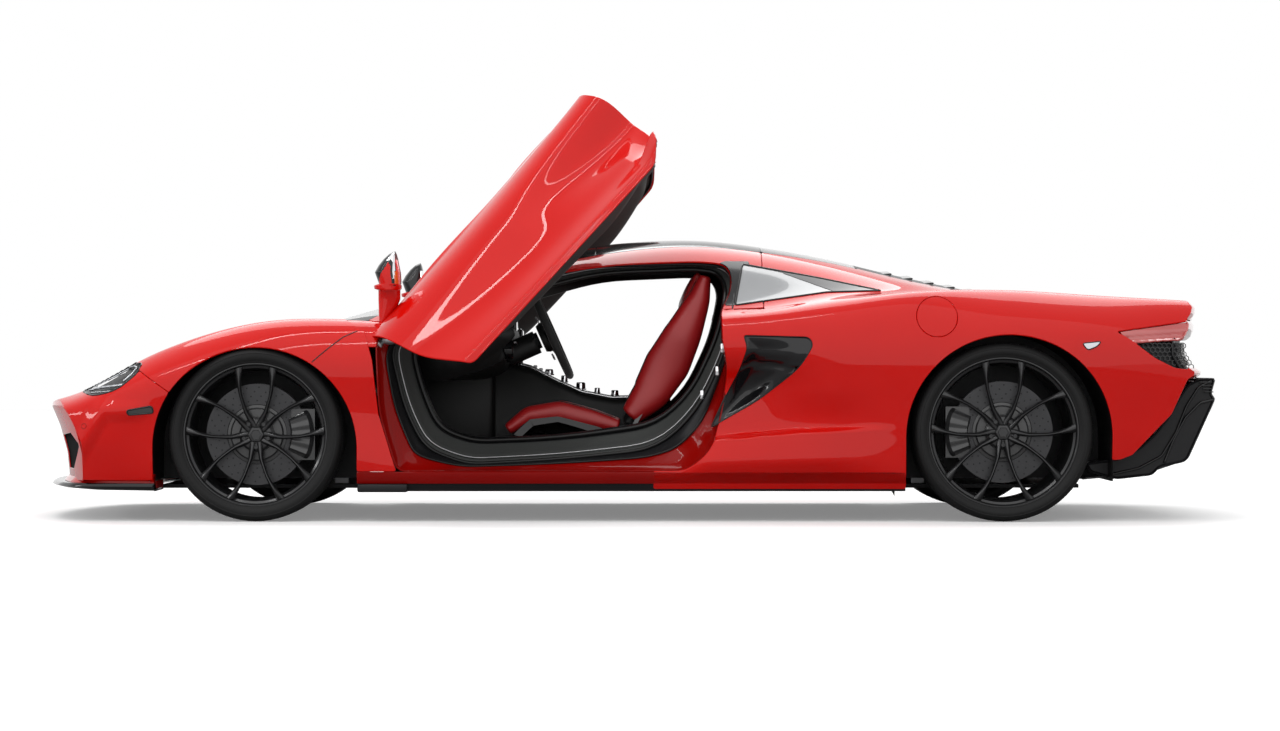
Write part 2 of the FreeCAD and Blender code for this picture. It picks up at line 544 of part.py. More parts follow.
def revolved(body, name, corners):
    sketch = profile(body, name + "_section", "XY_Plane", corners)
    turn = body.newObject("PartDesign::Revolution", name)
    turn.Profile = sketch
    turn.ReferenceAxis = (sketch, ["V_Axis"])
    turn.Angle = 360
    return turn


def new_body(label, x, y, z, facing):
    # A body whose outer face looks along +Y when facing is 1 and along -Y when it is -1.
    body = doc.addObject("PartDesign::Body", label)
    body.Label = label
    body.Placement = FreeCAD.Placement(FreeCAD.Vector(0, 0, 0),
                                       FreeCAD.Rotation(FreeCAD.Vector(0, 0, 1), 0 if facing > 0 else 180))
    body.setExpression("Placement.Base.x", x)
    body.setExpression("Placement.Base.y", y)
    body.setExpression("Placement.Base.z", z)
    made[label] = body
    return body


def make_wheel(axle, name, facing):
    radius = f"Sizes.{axle}_tyre_radius"
    half = f"Sizes.{axle}_tyre_width / 2"
    rim = f"Sizes.{axle}_rim_radius"
    x = "-Sizes.overall_length / 2 + Sizes.front_overhang" + (" + Sizes.wheelbase" if axle == "rear" else "")
    y = f"{facing} * Sizes.{axle}_track / 2"
    place = (x, y, radius, facing)
    gap = "Sizes.fit_gap"
    tyre = new_body(f"tyre_{name}", *place)
    revolved(tyre, "carcass", [
        (f"{rim} + {gap}", f"-({half}) + 12"), (f"{rim} + 14", f"-({half})"), (f"{radius} - 24", f"-({half}) + 3"),
        (f"{radius} - 7", f"-({half}) + 14"), (radius, f"-({half}) + 34"), (radius, f"{half} - 34"),
        (f"{radius} - 7", f"{half} - 14"), (f"{radius} - 24", f"{half} - 3"), (f"{rim} + 14", half),
        (f"{rim} + {gap}", f"{half} - 12")])
    wheel = new_body(f"rim_{name}", *place)
    wall = "Sizes.barrel_wall"
    face = f"{half} - Sizes.hub_face_inset"
    revolved(wheel, "barrel", [
        (f"{rim} - {wall}", f"-({half}) + 14"), (rim, f"-({half}) + 14"), (rim, f"{half} - 14"),
        (f"{rim} - {wall}", f"{half} - 14")])
    spoke_sketch = profile(wheel, "spoke_section", "XY_Plane", [
        ("Sizes.hub_radius - 12", f"{face}"), (f"{rim} - {wall} / 2", f"{half} - 44"),
        (f"{rim} - {wall} / 2", f"{half} - 16"), ("Sizes.hub_radius - 12", f"{face} + Sizes.spoke_depth")])
    spoke = wheel.newObject("PartDesign::Pad", "spoke")
    spoke.Profile = spoke_sketch
    spoke.Midplane = True
    spoke.setExpression("Length", "Sizes.spoke_width")
    pattern = wheel.newObject("PartDesign::PolarPattern", "spokes")
    pattern.Originals = [spoke]
    pattern.Axis = (spoke_sketch, ["V_Axis"])
    pattern.Angle = 360
    pattern.Occurrences = 10
    wheel.Tip = pattern
    hub = revolved(wheel, "hub", [
        ("0", f"{face} - 6"), ("Sizes.hub_radius", f"{face} - 6"), ("Sizes.hub_radius", f"{face} + 18"),
        ("Sizes.hub_radius - 26", f"{face} + Sizes.spoke_depth"), ("0", f"{face} + Sizes.spoke_depth")])
    wheel.Tip = hub
    disc = new_body(f"brake_disc_{name}", *place)
    disc_radius = f"Sizes.{axle}_disc_radius"
    thick = "Sizes.disc_thickness"
    back = f"{face} - 6"
    revolved(disc, "rotor", [
        ("Sizes.stub_radius + 1", back), ("Sizes.stub_radius + 1", f"{back} - 8"), ("82", f"{back} - 8"),
        ("82", f"{back} - {thick} - 8"), (disc_radius, f"{back} - {thick} - 8"), (disc_radius, f"{back} - 8"),
        ("90", f"{back} - 8"), ("90", back)])


def upright(axle):
    # The hub carrier with its stub axle, ball-joint post and brake caliper, on the left-hand side.
    hub = size(f"{axle}_tyre_radius")
    x = FRONT if axle == "front" else REAR
    centre = -size(f"{axle}_track") / 2
    half = size(f"{axle}_tyre_width") / 2
    face = centre - half + size("hub_face_inset")
    disc_back = face + 6 + 8 + size("disc_thickness")
    disc_radius = size(f"{axle}_disc_radius")
    inner = disc_back + 70
    reach = size("upright_half_height")
    post_radius = size("kingpin_radius")
    stub = Part.makeCylinder(size("stub_radius"), inner - post_radius - face - 6.5,
                             FreeCAD.Vector(x, face + 6.5, hub), FreeCAD.Vector(0, 1, 0))
    carrier = Part.makeCylinder(62, 50, FreeCAD.Vector(x, disc_back + 10, hub), FreeCAD.Vector(0, 1, 0))
    post = Part.makeCylinder(post_radius, 2 * reach, FreeCAD.Vector(x, inner - post_radius, hub - reach))
    side = 1 if axle == "front" else -1
    caliper = block(disc_radius - 62, disc_radius + 26, face - 3, disc_back + 22, -95, 95)
    slot = block(0, disc_radius + 8, face + 10, disc_back + 4, -200, 200)
    bracket = block(40, disc_radius - 40, disc_back + 12, disc_back + 22, -40, 40)
    caliper = caliper.cut(slot).fuse(bracket)
    if side < 0:
        caliper = caliper.mirror(FreeCAD.Vector(0, 0, 0), FreeCAD.Vector(1, 0, 0))
    return stub.fuse(carrier).fuse(post).fuse(at(caliper, x, 0, hub)), inner


def make_corners():
    for axle, start, end in (("front", FRONT, "knuckle"), ("rear", REAR, "hub_carrier")):
        left, inner = upright(axle)
        hub = size(f"{axle}_tyre_radius")
        pivot = inner - size("kingpin_radius")
        reach = size("upright_half_height")
        for name, shape in (("left", left), ("right", mirrored(left))):
            feature(f"{end}_{axle}_{name}", shape)
        frame_y = -(size("rail_y") + size("rail_width") / 2)
        joint_gap = 0.3 if axle == "front" else 0
        shapes = []
        for side in (-1, 1):
            height = hub + side * (reach + 17)
            near, far = sorted((hub + side * (reach + joint_gap), hub + side * (reach + 30)))
            eye = Part.makeCylinder(20, far - near, FreeCAD.Vector(start, pivot, near))
            mount = block(start - 145, start + 145, frame_y - 22, frame_y, height - 18, height + 18)
            arms = [bar((start + spread, frame_y - 10, height), (start, pivot, height), 13) for spread in (-130, 130)]
            shapes.append(eye.multiFuse([mount] + arms))
        shape = Part.makeCompound(shapes)
        feature(f"{axle}_wishbones", pair(shape))


def make_steering_wheel():
    centre, axis = STEERING_CENTRE, STEERING_AXIS
    rim = Part.makeTorus(size("steering_radius"), size("steering_rim"), centre, axis)
    boss = Part.makeCylinder(48, 40, centre - axis * 34, axis)
    spokes = boss
    side = FreeCAD.Vector(0, 1, 0)
    down = axis.cross(side)
    for direction in (side, -side, down if down.z < 0 else -down):
        end = centre + direction * size("steering_radius")
        start = centre - axis * 15
        spokes = spokes.fuse(Part.makeCylinder(10, (end - start).Length, start, end - start))
    column = Part.makeCylinder(20, COLUMN_LENGTH, centre - axis * COLUMN_LENGTH, axis)
    feature("steering_wheel", rim.fuse(spokes).fuse(column))


make_nose()
make_splitter()
make_wings()
make_roof()
make_quarters()
make_sills()
make_tail()
make_tub()
make_frames()
make_floor()
make_seats()
make_engine()
make_doors()
make_lids()
for axle_name, side_name, side_sign in (("front", "left", -1), ("front", "right", 1), ("rear", "left", -1),
                                        ("rear", "right", 1)):
    make_wheel(axle_name, f"{axle_name}_{side_name}", side_sign)
make_corners()
make_steering_wheel()

doc.recompute()
for item in doc.Objects:
    if "Invalid" in item.State or "Error" in item.State:
        raise RuntimeError(f"{item.Label} failed: {item.State}")
os.makedirs("parts", exist_ok=True)
for label, item in made.items():
    shape = item.Shape
    if shape.isNull() or not shape.isValid() or not shape.Solids:
        raise RuntimeError(f"{label} has no valid solid")
    shape.exportStep(os.path.join("parts", f"{label}.step"))
    print(label, len(shape.Solids), round(shape.Volume / 1e6, 2), "litres")
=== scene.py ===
import json
import math

import bmesh
import bpy
import numpy as np
from mathutils import Matrix, Vector


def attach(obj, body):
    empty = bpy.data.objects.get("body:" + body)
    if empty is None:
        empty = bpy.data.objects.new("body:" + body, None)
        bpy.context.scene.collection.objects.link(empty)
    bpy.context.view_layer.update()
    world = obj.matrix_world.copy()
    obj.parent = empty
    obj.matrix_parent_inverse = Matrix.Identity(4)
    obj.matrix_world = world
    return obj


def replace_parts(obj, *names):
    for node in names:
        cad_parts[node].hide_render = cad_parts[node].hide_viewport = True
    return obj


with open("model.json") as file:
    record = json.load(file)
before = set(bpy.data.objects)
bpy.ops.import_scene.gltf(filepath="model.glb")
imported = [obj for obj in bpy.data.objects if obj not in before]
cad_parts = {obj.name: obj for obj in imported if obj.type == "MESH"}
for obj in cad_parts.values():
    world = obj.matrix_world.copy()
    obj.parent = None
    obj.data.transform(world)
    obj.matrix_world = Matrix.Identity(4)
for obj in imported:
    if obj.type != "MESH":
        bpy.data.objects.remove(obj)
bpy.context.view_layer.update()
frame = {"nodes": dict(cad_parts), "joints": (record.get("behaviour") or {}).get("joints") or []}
print("frame loaded")

car = {
    "nose": -2.27,
    "tail": 2.27,
    "frontAxle": -1.399,
    "rearAxle": 1.379,
    "roof": 1.07,
    "panelThickness": 0.006,
    "panelGap": 0.0045,
    "edgeChamfer": 0.0016,
}

cameraSettings = {"place": (0.030, -14.0, 0.58), "focalLength": 99.17, "sensorWidth": 36.0}


def makeCamera():
    data = bpy.data.cameras.new("camera")
    data.lens = cameraSettings["focalLength"]
    data.sensor_width = cameraSettings["sensorWidth"]
    camera = bpy.data.objects.new("camera", data)
    camera.location = cameraSettings["place"]
    camera.rotation_euler = (math.radians(90), 0, 0)
    bpy.context.scene.collection.objects.link(camera)
    bpy.context.scene.camera = camera


makeCamera()


# each section: distance from its anchor, then (half width, height) from the floor edge up to the crown
bodySections = [
    ("nose", -0.020, [(0.685, 0.112), (0.710, 0.150), (0.715, 0.250), (0.740, 0.370), (0.700, 0.415),
                      (0.600, 0.420), (0.400, 0.422), (0, 0.425)]),
    ("nose", 0.190, [(0.835, 0.112), (0.860, 0.165), (0.900, 0.300), (0.885, 0.420), (0.760, 0.474),
                     (0.640, 0.478), (0.420, 0.484), (0, 0.490)]),
    ("frontAxle", -0.380, [(0.895, 0.112), (0.920, 0.175), (0.940, 0.350), (0.935, 0.530), (0.800, 0.628),
                           (0.660, 0.602), (0.440, 0.592), (0, 0.602)]),
    ("frontAxle", 0, [(0.915, 0.112), (0.940, 0.180), (0.945, 0.400), (0.945, 0.610), (0.810, 0.741),
                      (0.650, 0.692), (0.450, 0.682), (0, 0.692)]),
    ("frontAxle", 0.370, [(0.905, 0.112), (0.930, 0.180), (0.925, 0.400), (0.925, 0.610), (0.815, 0.746),
                          (0.680, 0.742), (0.560, 0.758), (0, 0.798)]),
    ("frontAxle", 0.670, [(0.905, 0.112), (0.930, 0.180), (0.905, 0.350), (0.915, 0.600), (0.850, 0.715),
                          (0.800, 0.745), (0.590, 0.840), (0, 0.882)]),
    ("frontAxle", 1.220, [(0.905, 0.112), (0.930, 0.180), (0.890, 0.330), (0.920, 0.600), (0.860, 0.720),
                          (0.810, 0.765), (0.520, 0.985), (0, 1.044)]),
    ("frontAxle", 1.670, [(0.905, 0.112), (0.930, 0.180), (0.885, 0.330), (0.925, 0.620), (0.870, 0.740),
                          (0.800, 0.785), (0.500, 1.028), (0, 1.062)]),
    ("rearAxle", -0.885, [(0.905, 0.112), (0.930, 0.175), (0.905, 0.340), (0.937, 0.640), (0.875, 0.762),
                          (0.775, 0.805), (0.505, 1.004), (0, 1.040)]),
    ("rearAxle", -0.605, [(0.910, 0.112), (0.935, 0.170), (0.933, 0.360), (0.950, 0.655), (0.870, 0.800),
                          (0.740, 0.850), (0.530, 0.955), (0, 0.994)]),
    ("rearAxle", -0.355, [(0.915, 0.112), (0.940, 0.165), (0.950, 0.380), (0.957, 0.680), (0.850, 0.845),
                          (0.720, 0.856), (0.545, 0.900), (0, 0.938)]),
    ("rearAxle", 0, [(0.920, 0.112), (0.945, 0.165), (0.962, 0.400), (0.965, 0.690), (0.800, 0.859),
                     (0.700, 0.852), (0.540, 0.848), (0, 0.868)]),
    ("rearAxle", 0.395, [(0.905, 0.120), (0.930, 0.220), (0.953, 0.400), (0.953, 0.680), (0.790, 0.837),
                         (0.690, 0.828), (0.520, 0.824), (0, 0.834)]),
    ("tail", -0.150, [(0.875, 0.200), (0.900, 0.260), (0.905, 0.400), (0.900, 0.620), (0.760, 0.815),
                      (0.660, 0.812), (0.500, 0.810), (0, 0.814)]),
    ("tail", 0.020, [(0.835, 0.240), (0.860, 0.290), (0.870, 0.400), (0.860, 0.600), (0.720, 0.800),
                     (0.620, 0.800), (0.480, 0.799), (0, 0.802)]),
]

surfaceGrid = {"stepX": 0.006, "perSpan": 26, "softenX": 7, "softenAround": 3}


def smoothSpline(knots, values, samples):
    knots, values = np.asarray(knots, float), np.asarray(values, float)
    slopes = np.gradient(values, knots)
    spot = np.clip(np.searchsorted(knots, samples) - 1, 0, len(knots) - 2)
    width = knots[spot + 1] - knots[spot]
    t = (samples - knots[spot]) / width
    start, end = values[spot], values[spot + 1]
    return ((2 * t**3 - 3 * t**2 + 1) * start + (t**3 - 2 * t**2 + t) * width * slopes[spot]
            + (3 * t**2 - 2 * t**3) * end + (t**3 - t**2) * width * slopes[spot + 1])


def soften(table, passes, axis):
    # repeated neighbour averaging with both ends held
    table = np.moveaxis(table, axis, 0).copy()
    for _ in range(passes):
        table[1:-1] = (table[:-2] + 2 * table[1:-1] + table[2:]) / 4
    return np.moveaxis(table, 0, axis)


def makeSurface():
    # the left-hand half of the body: rows run nose to tail, columns from the floor edge up to the crown
    xs = np.array([car[anchor] + offset for anchor, offset, _ in bodySections])
    rings = []
    for _, _, ring in bodySections:
        y, z = np.array(ring).T
        run = np.concatenate([[0], np.cumsum(np.sqrt(np.hypot(np.diff(y), np.diff(z))))])
        # the crown is mirrored so that the slope is level there
        runs, ys, zs = np.append(run, 2 * run[-1] - run[-2]), np.append(y, -y[-2]), np.append(z, z[-2])
        samples = np.concatenate([np.linspace(run[i], run[i + 1], surfaceGrid["perSpan"], endpoint=False)
                                  for i in range(len(run) - 1)] + [run[-1:]])
        rings.append(np.stack([smoothSpline(runs, ys, samples), smoothSpline(runs, zs, samples)], -1))
    rings = np.array(rings)
    rows = np.arange(xs[0], xs[-1], surfaceGrid["stepX"])
    table = np.stack([smoothSpline(xs, rings[:, j, k], rows) for j in range(rings.shape[1])
                      for k in (0, 1)], -1)
    table = table.reshape(len(rows), rings.shape[1], 2)
    table = soften(table, surfaceGrid["softenX"] ** 2, 0)
    crown = table[:, -1].copy()
    table = soften(table, surfaceGrid["softenAround"] ** 2, 1)
    table[:, -1] = crown
    table[:, -1, 0] = 0
    grid = np.empty(table.shape[:2] + (3,))
    grid[..., 0] = rows[:, None]
    grid[..., 1] = -table[..., 0]
    grid[..., 2] = table[..., 1]
    return grid


def segmentDistance(x, z, start, end):
    ex, ez = end[0] - start[0], end[1] - start[1]
    share = np.clip(((x - start[0]) * ex + (z - start[1]) * ez) / (ex * ex + ez * ez), 0, 1)
    return np.hypot(x - start[0] - ex * share, z - start[1] - ez * share)


def outlineDistance(x, z, corners):
    # distance to a closed outline, negative inside it
    distance = np.full(np.shape(x), 1e9)
    inside = np.zeros(np.shape(x), bool)
    for (x0, z0), (x1, z1) in zip(corners, corners[1:] + corners[:1]):
        distance = np.minimum(distance, segmentDistance(x, z, (x0, z0), (x1, z1)))
        if z0 != z1:
            crosses = (z0 <= z) != (z1 <= z)
            inside ^= crosses & (x < x0 + (x1 - x0) * (z - z0) / (z1 - z0))
    return np.where(inside, -distance, distance)


def lineHeight(x, stops):
    xs, zs = zip(*stops)
    return np.interp(x, xs, zs)


def bump(value, centre, spread):
    return np.exp(-((value - centre) / spread) ** 2)


def ramp(value, start, end):
    t = np.clip((value - start) / (end - start), 0, 1)
    return t * t * (3 - 2 * t)


def clipGrid(points, field):
    # keeps the part of a grid of points where the field is negative; the border is cut between grid points
    rows, columns = field.shape
    coords = points.reshape(-1, 3)
    values = field.ravel()
    inside = values < 0
    newVerts, index, faces = [], {}, []

    def gridVert(i):
        if i not in index:
            index[i] = len(newVerts)
            newVerts.append(coords[i])
        return index[i]

    def borderVert(a, b):
        key = (min(a, b), max(a, b))
        if key not in index:
            low, high = key
            share = values[low] / (values[low] - values[high])
            share = min(max(share, 0.02), 0.98)
            index[key] = len(newVerts)
            newVerts.append(coords[low] + (coords[high] - coords[low]) * share)
        return index[key]

    kept = np.arange(rows * columns).reshape(rows, columns)
    quads = np.stack([kept[:-1, :-1], kept[1:, :-1], kept[1:, 1:], kept[:-1, 1:]], -1).reshape(-1, 4)
    counts = inside[quads].sum(1)
    for quad, count in zip(quads[counts > 0].tolist(), counts[counts > 0]):
        if count == 4:
            faces.append([gridVert(i) for i in quad])
            continue
        loop = []
        for a, b in zip(quad, quad[1:] + quad[:1]):
            if inside[a]:
                loop.append(gridVert(a))
            if inside[a] != inside[b]:
                loop.append(borderVert(a, b))
        if len(loop) > 2:
            faces.append(loop)
    return np.array(newVerts).reshape(-1, 3), faces


def newObject(name, verts, faces, material=None, smooth=True, sharp=()):
    mesh = bpy.data.meshes.new(name)
    mesh.from_pydata([tuple(v) for v in verts], [], faces)
    mesh.polygons.foreach_set("use_smooth", [smooth] * len(mesh.polygons))
    if len(sharp):
        wanted = {tuple(sorted(edge)) for edge in sharp}
        for edge in mesh.edges:
            if tuple(sorted(edge.vertices)) in wanted:
                edge.use_edge_sharp = True
    obj = bpy.data.objects.new(name, mesh)
    bpy.context.scene.collection.objects.link(obj)
    if material:
        mesh.materials.append(material)
    return obj


def borderEdges(faces):
    edges = {}
    for face in faces:
        for a, b in zip(face, face[1:] + face[:1]):
            edges[(a, b)] = True
    return [(a, b) for a, b in edges if (b, a) not in edges]


def vertexNormals(verts, faces):
    mesh = bpy.data.meshes.new("scratch")
    mesh.from_pydata([tuple(v) for v in verts], [], faces)
    normals = np.empty(len(verts) * 3)
    mesh.vertex_normals.foreach_get("vector", normals)
    bpy.data.meshes.remove(mesh)
    return normals.reshape(-1, 3)


def thicken(name, verts, faces, thickness, material, chamfer=None):
    # a closed panel from an open sheet: outer face, a fine chamfer round the edge, rim and inner face
    chamfer = car["edgeChamfer"] if chamfer is None else chamfer
    normals = vertexNormals(verts, faces)
    border = borderEdges(faces)
    outward = np.zeros_like(verts)
    for a, b in border:
        way = np.cross(verts[b] - verts[a], normals[a] + normals[b])
        length = np.linalg.norm(way)
        if length > 0:
            outward[a] += way / length
            outward[b] += way / length
    lengths = np.linalg.norm(outward, axis=1, keepdims=True)
    outward = np.where(lengths > 1e-9, outward / np.maximum(lengths, 1e-9), 0)
    count = len(verts)
    edgeVerts = sorted({a for a, _ in border})
    ring = {v: count + i for i, v in enumerate(edgeVerts)}
    chamfered = verts[edgeVerts] + (outward[edgeVerts] - normals[edgeVerts]) * chamfer
    inner = verts - normals * thickness + outward * chamfer
    base = count + len(edgeVerts)
    allFaces = list(faces)
    for a, b in border:
        allFaces.append([b, a, ring[a], ring[b]])
        allFaces.append([ring[b], ring[a], base + a, base + b])
    allFaces += [[base + v for v in reversed(face)] for face in faces]
    sharp = [(a, b) for a, b in border] + [(ring[a], ring[b]) for a, b in border]
    sharp += [(base + a, base + b) for a, b in border]
    return newObject(name, np.vstack([verts, chamfered, inner]), allFaces, material, sharp=sharp)


def mirrorObject(obj, name=None, join=False):
    # a right-hand copy; with join both halves become one object, welded along the middle plane
    work = bmesh.new()
    work.from_mesh(obj.data)
    for vert in work.verts:
        vert.co.y = -vert.co.y
    bmesh.ops.reverse_faces(work, faces=work.faces)
    if join:
        work.from_mesh(obj.data)
        bmesh.ops.remove_doubles(work, verts=[v for v in work.verts if abs(v.co.y) < 1e-5], dist=2e-5)
        middle = [f for f in work.faces if all(abs(v.co.y) < 2e-5 for v in f.verts)]
        bmesh.ops.delete(work, geom=middle, context="FACES_ONLY")
        work.to_mesh(obj.data)
        work.free()
        return obj
    mesh = obj.data.copy()
    work.to_mesh(mesh)
    work.free()
    twin = bpy.data.objects.new(name or obj.name.replace("left", "right"), mesh)
    bpy.context.scene.collection.objects.link(twin)
    return twin


def bridge(loops, closed=True, capEnds=False):
    # faces between rings of equally many points
    verts = np.vstack(loops)
    size = len(loops[0])
    faces = []
    for ring in range(len(loops) - 1):
        for i in range(size if closed else size - 1):
            j = (i + 1) % size
            faces.append([ring * size + i, ring * size + j, (ring + 1) * size + j, (ring + 1) * size + i])
    if capEnds:
        faces.append(list(reversed(range(size))))
        faces.append([(len(loops) - 1) * size + i for i in range(size)])
    return verts, faces


def turnAngles(count):
    # evenly spaced angles round one full turn
    return np.linspace(0, 2 * math.pi, count, endpoint=False)


def tidyNormals(obj):
    work = bmesh.new()
    work.from_mesh(obj.data)
    bmesh.ops.remove_doubles(work, verts=work.verts, dist=1e-6)
    bmesh.ops.recalc_face_normals(work, faces=work.faces)
    work.to_mesh(obj.data)
    work.free()
    return obj


def creaseByAngle(obj, degrees=32):
    work = bmesh.new()
    work.from_mesh(obj.data)
    for face in work.faces:
        face.smooth = True
    for edge in work.edges:
        edge.smooth = len(edge.link_faces) == 2 and edge.calc_face_angle(0) < math.radians(degrees)
    work.to_mesh(obj.data)
    work.free()
    return obj


def loft(name, loops, material, crease=None, smooth=True):
    # a closed piece through rings of equally many points; crease is the angle above which an edge stays sharp
    obj = tidyNormals(newObject(name, *bridge(np.array(loops), capEnds=True), material, smooth=smooth))
    return creaseByAngle(obj, crease) if crease else obj


def joinObjects(name, objects, material=None):
    work = bmesh.new()
    for obj in objects:
        work.from_mesh(obj.data)
        bpy.data.objects.remove(obj)
    mesh = bpy.data.meshes.new(name)
    work.to_mesh(mesh)
    work.free()
    joined = bpy.data.objects.new(name, mesh)
    bpy.context.scene.collection.objects.link(joined)
    if material:
        mesh.materials.append(material)
    return joined


def roundedOutline(corners, radius=0.02, steps=5):
    # a closed outline with every corner rounded; a corner may give its own radius as a third number
    result = []
    count = len(corners)
    for i, corner in enumerate(corners):
        here = np.array(corner[:2])
        before, after = np.array(corners[i - 1][:2]), np.array(corners[(i + 1) % count][:2])
        wanted = corner[2] if len(corner) > 2 else radius
        toBefore, toAfter = before - here, after - here
        reach = min(wanted, 0.48 * np.linalg.norm(toBefore), 0.48 * np.linalg.norm(toAfter))
        start = here + toBefore / np.linalg.norm(toBefore) * reach
        end = here + toAfter / np.linalg.norm(toAfter) * reach
        if wanted <= 0:
            result.append(tuple(here))
            continue
        for t in np.linspace(0, 1, steps):
            result.append(tuple((1 - t) ** 2 * start + 2 * t * (1 - t) * here + t * t * end))
    return result


def evenLoop(loop, count, closed=True):
    # the same line with evenly spaced points
    loop = np.asarray(loop, float)
    line = np.vstack([loop, loop[:1]]) if closed else loop
    run = np.concatenate([[0], np.cumsum(np.linalg.norm(np.diff(line, axis=0), axis=1))])
    samples = np.linspace(0, run[-1], count, endpoint=not closed)
    return np.stack([np.interp(samples, run, line[:, k]) for k in range(line.shape[1])], -1)


def tubeAlong(name, path, profileRing, material, closed=False):
    # sweeps a small profile (across, up) along a path, turning with the path and keeping level where it can
    path = np.asarray(path, float)
    tangent = np.gradient(path, axis=0)
    if closed:
        tangent = np.roll(path, -1, 0) - np.roll(path, 1, 0)
    tangent /= np.linalg.norm(tangent, axis=1, keepdims=True)
    side = np.cross(tangent, (0, 1, 0))
    weak = np.linalg.norm(side, axis=1) < 1e-3
    side[weak] = (0, 0, 1)
    side /= np.linalg.norm(side, axis=1, keepdims=True)
    up = np.cross(side, tangent)
    loops = [path[i] + side[i] * np.array([[p[0]] for p in profileRing]) + up[i]
             * np.array([[p[1]] for p in profileRing])
             for i in range(len(path))]
    if closed:
        loops.append(loops[0])
    verts, faces = bridge(loops, capEnds=not closed)
    return tidyNormals(newObject(name, verts, faces, material))


def roundProfile(radius, sides=8, flat=1.0):
    return [(radius * math.cos(2 * math.pi * i / sides), flat * radius * math.sin(2 * math.pi * i / sides))
            for i in range(sides)]


def roundedBlock(name, centre, size, radius, material, segments=3):
    # a box with rounded edges
    work = bmesh.new()
    bmesh.ops.create_cube(work, size=1.0)
    for vert in work.verts:
        vert.co = Vector(centre) + Vector([vert.co[i] * size[i] for i in range(3)])
    bmesh.ops.bevel(work, geom=list(work.edges), offset=radius, segments=segments, affect="EDGES",
                    profile=0.5)
    mesh = bpy.data.meshes.new(name)
    work.to_mesh(mesh)
    work.free()
    mesh.materials.append(material)
    obj = bpy.data.objects.new(name, mesh)
    bpy.context.scene.collection.objects.link(obj)
    return creaseByAngle(obj, 40)


def addNode(tree, kind, place=(0, 0), **settings):
    node = tree.nodes.new(kind)
    node.location = place
    for key, value in settings.items():
        setattr(node, key, value)
    return node


def makeSurfaceGroup():
    # fine unevenness for any finish: a grain height and a slow blotch
    group = bpy.data.node_groups.new("surfaceDetail", "ShaderNodeTree")
    for name, value in (("grainScale", 400.0), ("blotchScale", 6.0)):
        group.interface.new_socket(name, in_out="INPUT",
                socket_type="NodeSocketFloat").default_value = value
    for name in ("grain", "blotch"):
        group.interface.new_socket(name, in_out="OUTPUT", socket_type="NodeSocketFloat")
    start, end = addNode(group, "NodeGroupInput"), addNode(group, "NodeGroupOutput", (900, 0))
    place = addNode(group, "ShaderNodeTexCoord", (0, -300))
    for row, (source, target, detail) in enumerate((("grainScale", "grain", 3),
            ("blotchScale", "blotch", 2))):
        noise = addNode(group, "ShaderNodeTexNoise", (400, -200 * row))
        noise.inputs["Detail"].default_value = detail
        group.links.new(place.outputs["Object"], noise.inputs["Vector"])
        group.links.new(start.outputs[source], noise.inputs["Scale"])
        group.links.new(noise.outputs["Fac"], end.inputs[target])
    return group


def makeWeaveGroup():
    # a twill weave for carbon fibre and grille cloth: dark and light strands on the diagonal
    group = bpy.data.node_groups.new("twillWeave", "ShaderNodeTree")
    group.interface.new_socket("strandsPerMetre", in_out="INPUT",
                               socket_type="NodeSocketFloat").default_value = 300.0
    group.interface.new_socket("strand", in_out="OUTPUT", socket_type="NodeSocketFloat")
    start, end = addNode(group, "NodeGroupInput"), addNode(group, "NodeGroupOutput", (900, 0))
    place = addNode(group, "ShaderNodeTexCoord", (0, -300))
    bands = []
    for row, turn in enumerate(((0, math.radians(45), math.radians(20)),
                                (0, math.radians(-45), math.radians(-20)))):
        spin = addNode(group, "ShaderNodeMapping", (200, -300 * row))
        spin.inputs["Rotation"].default_value = turn
        wave = addNode(group, "ShaderNodeTexWave", (400, -300 * row))
        group.links.new(place.outputs["Object"], spin.inputs["Vector"])
        group.links.new(spin.outputs["Vector"], wave.inputs["Vector"])
        group.links.new(start.outputs["strandsPerMetre"], wave.inputs["Scale"])
        bands.append(wave.outputs["Fac"])
    blend = addNode(group, "ShaderNodeMath", (650, 0), operation="MULTIPLY")
    group.links.new(bands[0], blend.inputs[0])
    group.links.new(bands[1], blend.inputs[1])
    group.links.new(blend.outputs["Value"], end.inputs["strand"])
    return group


surfaceDetail = makeSurfaceGroup()
twillWeave = makeWeaveGroup()


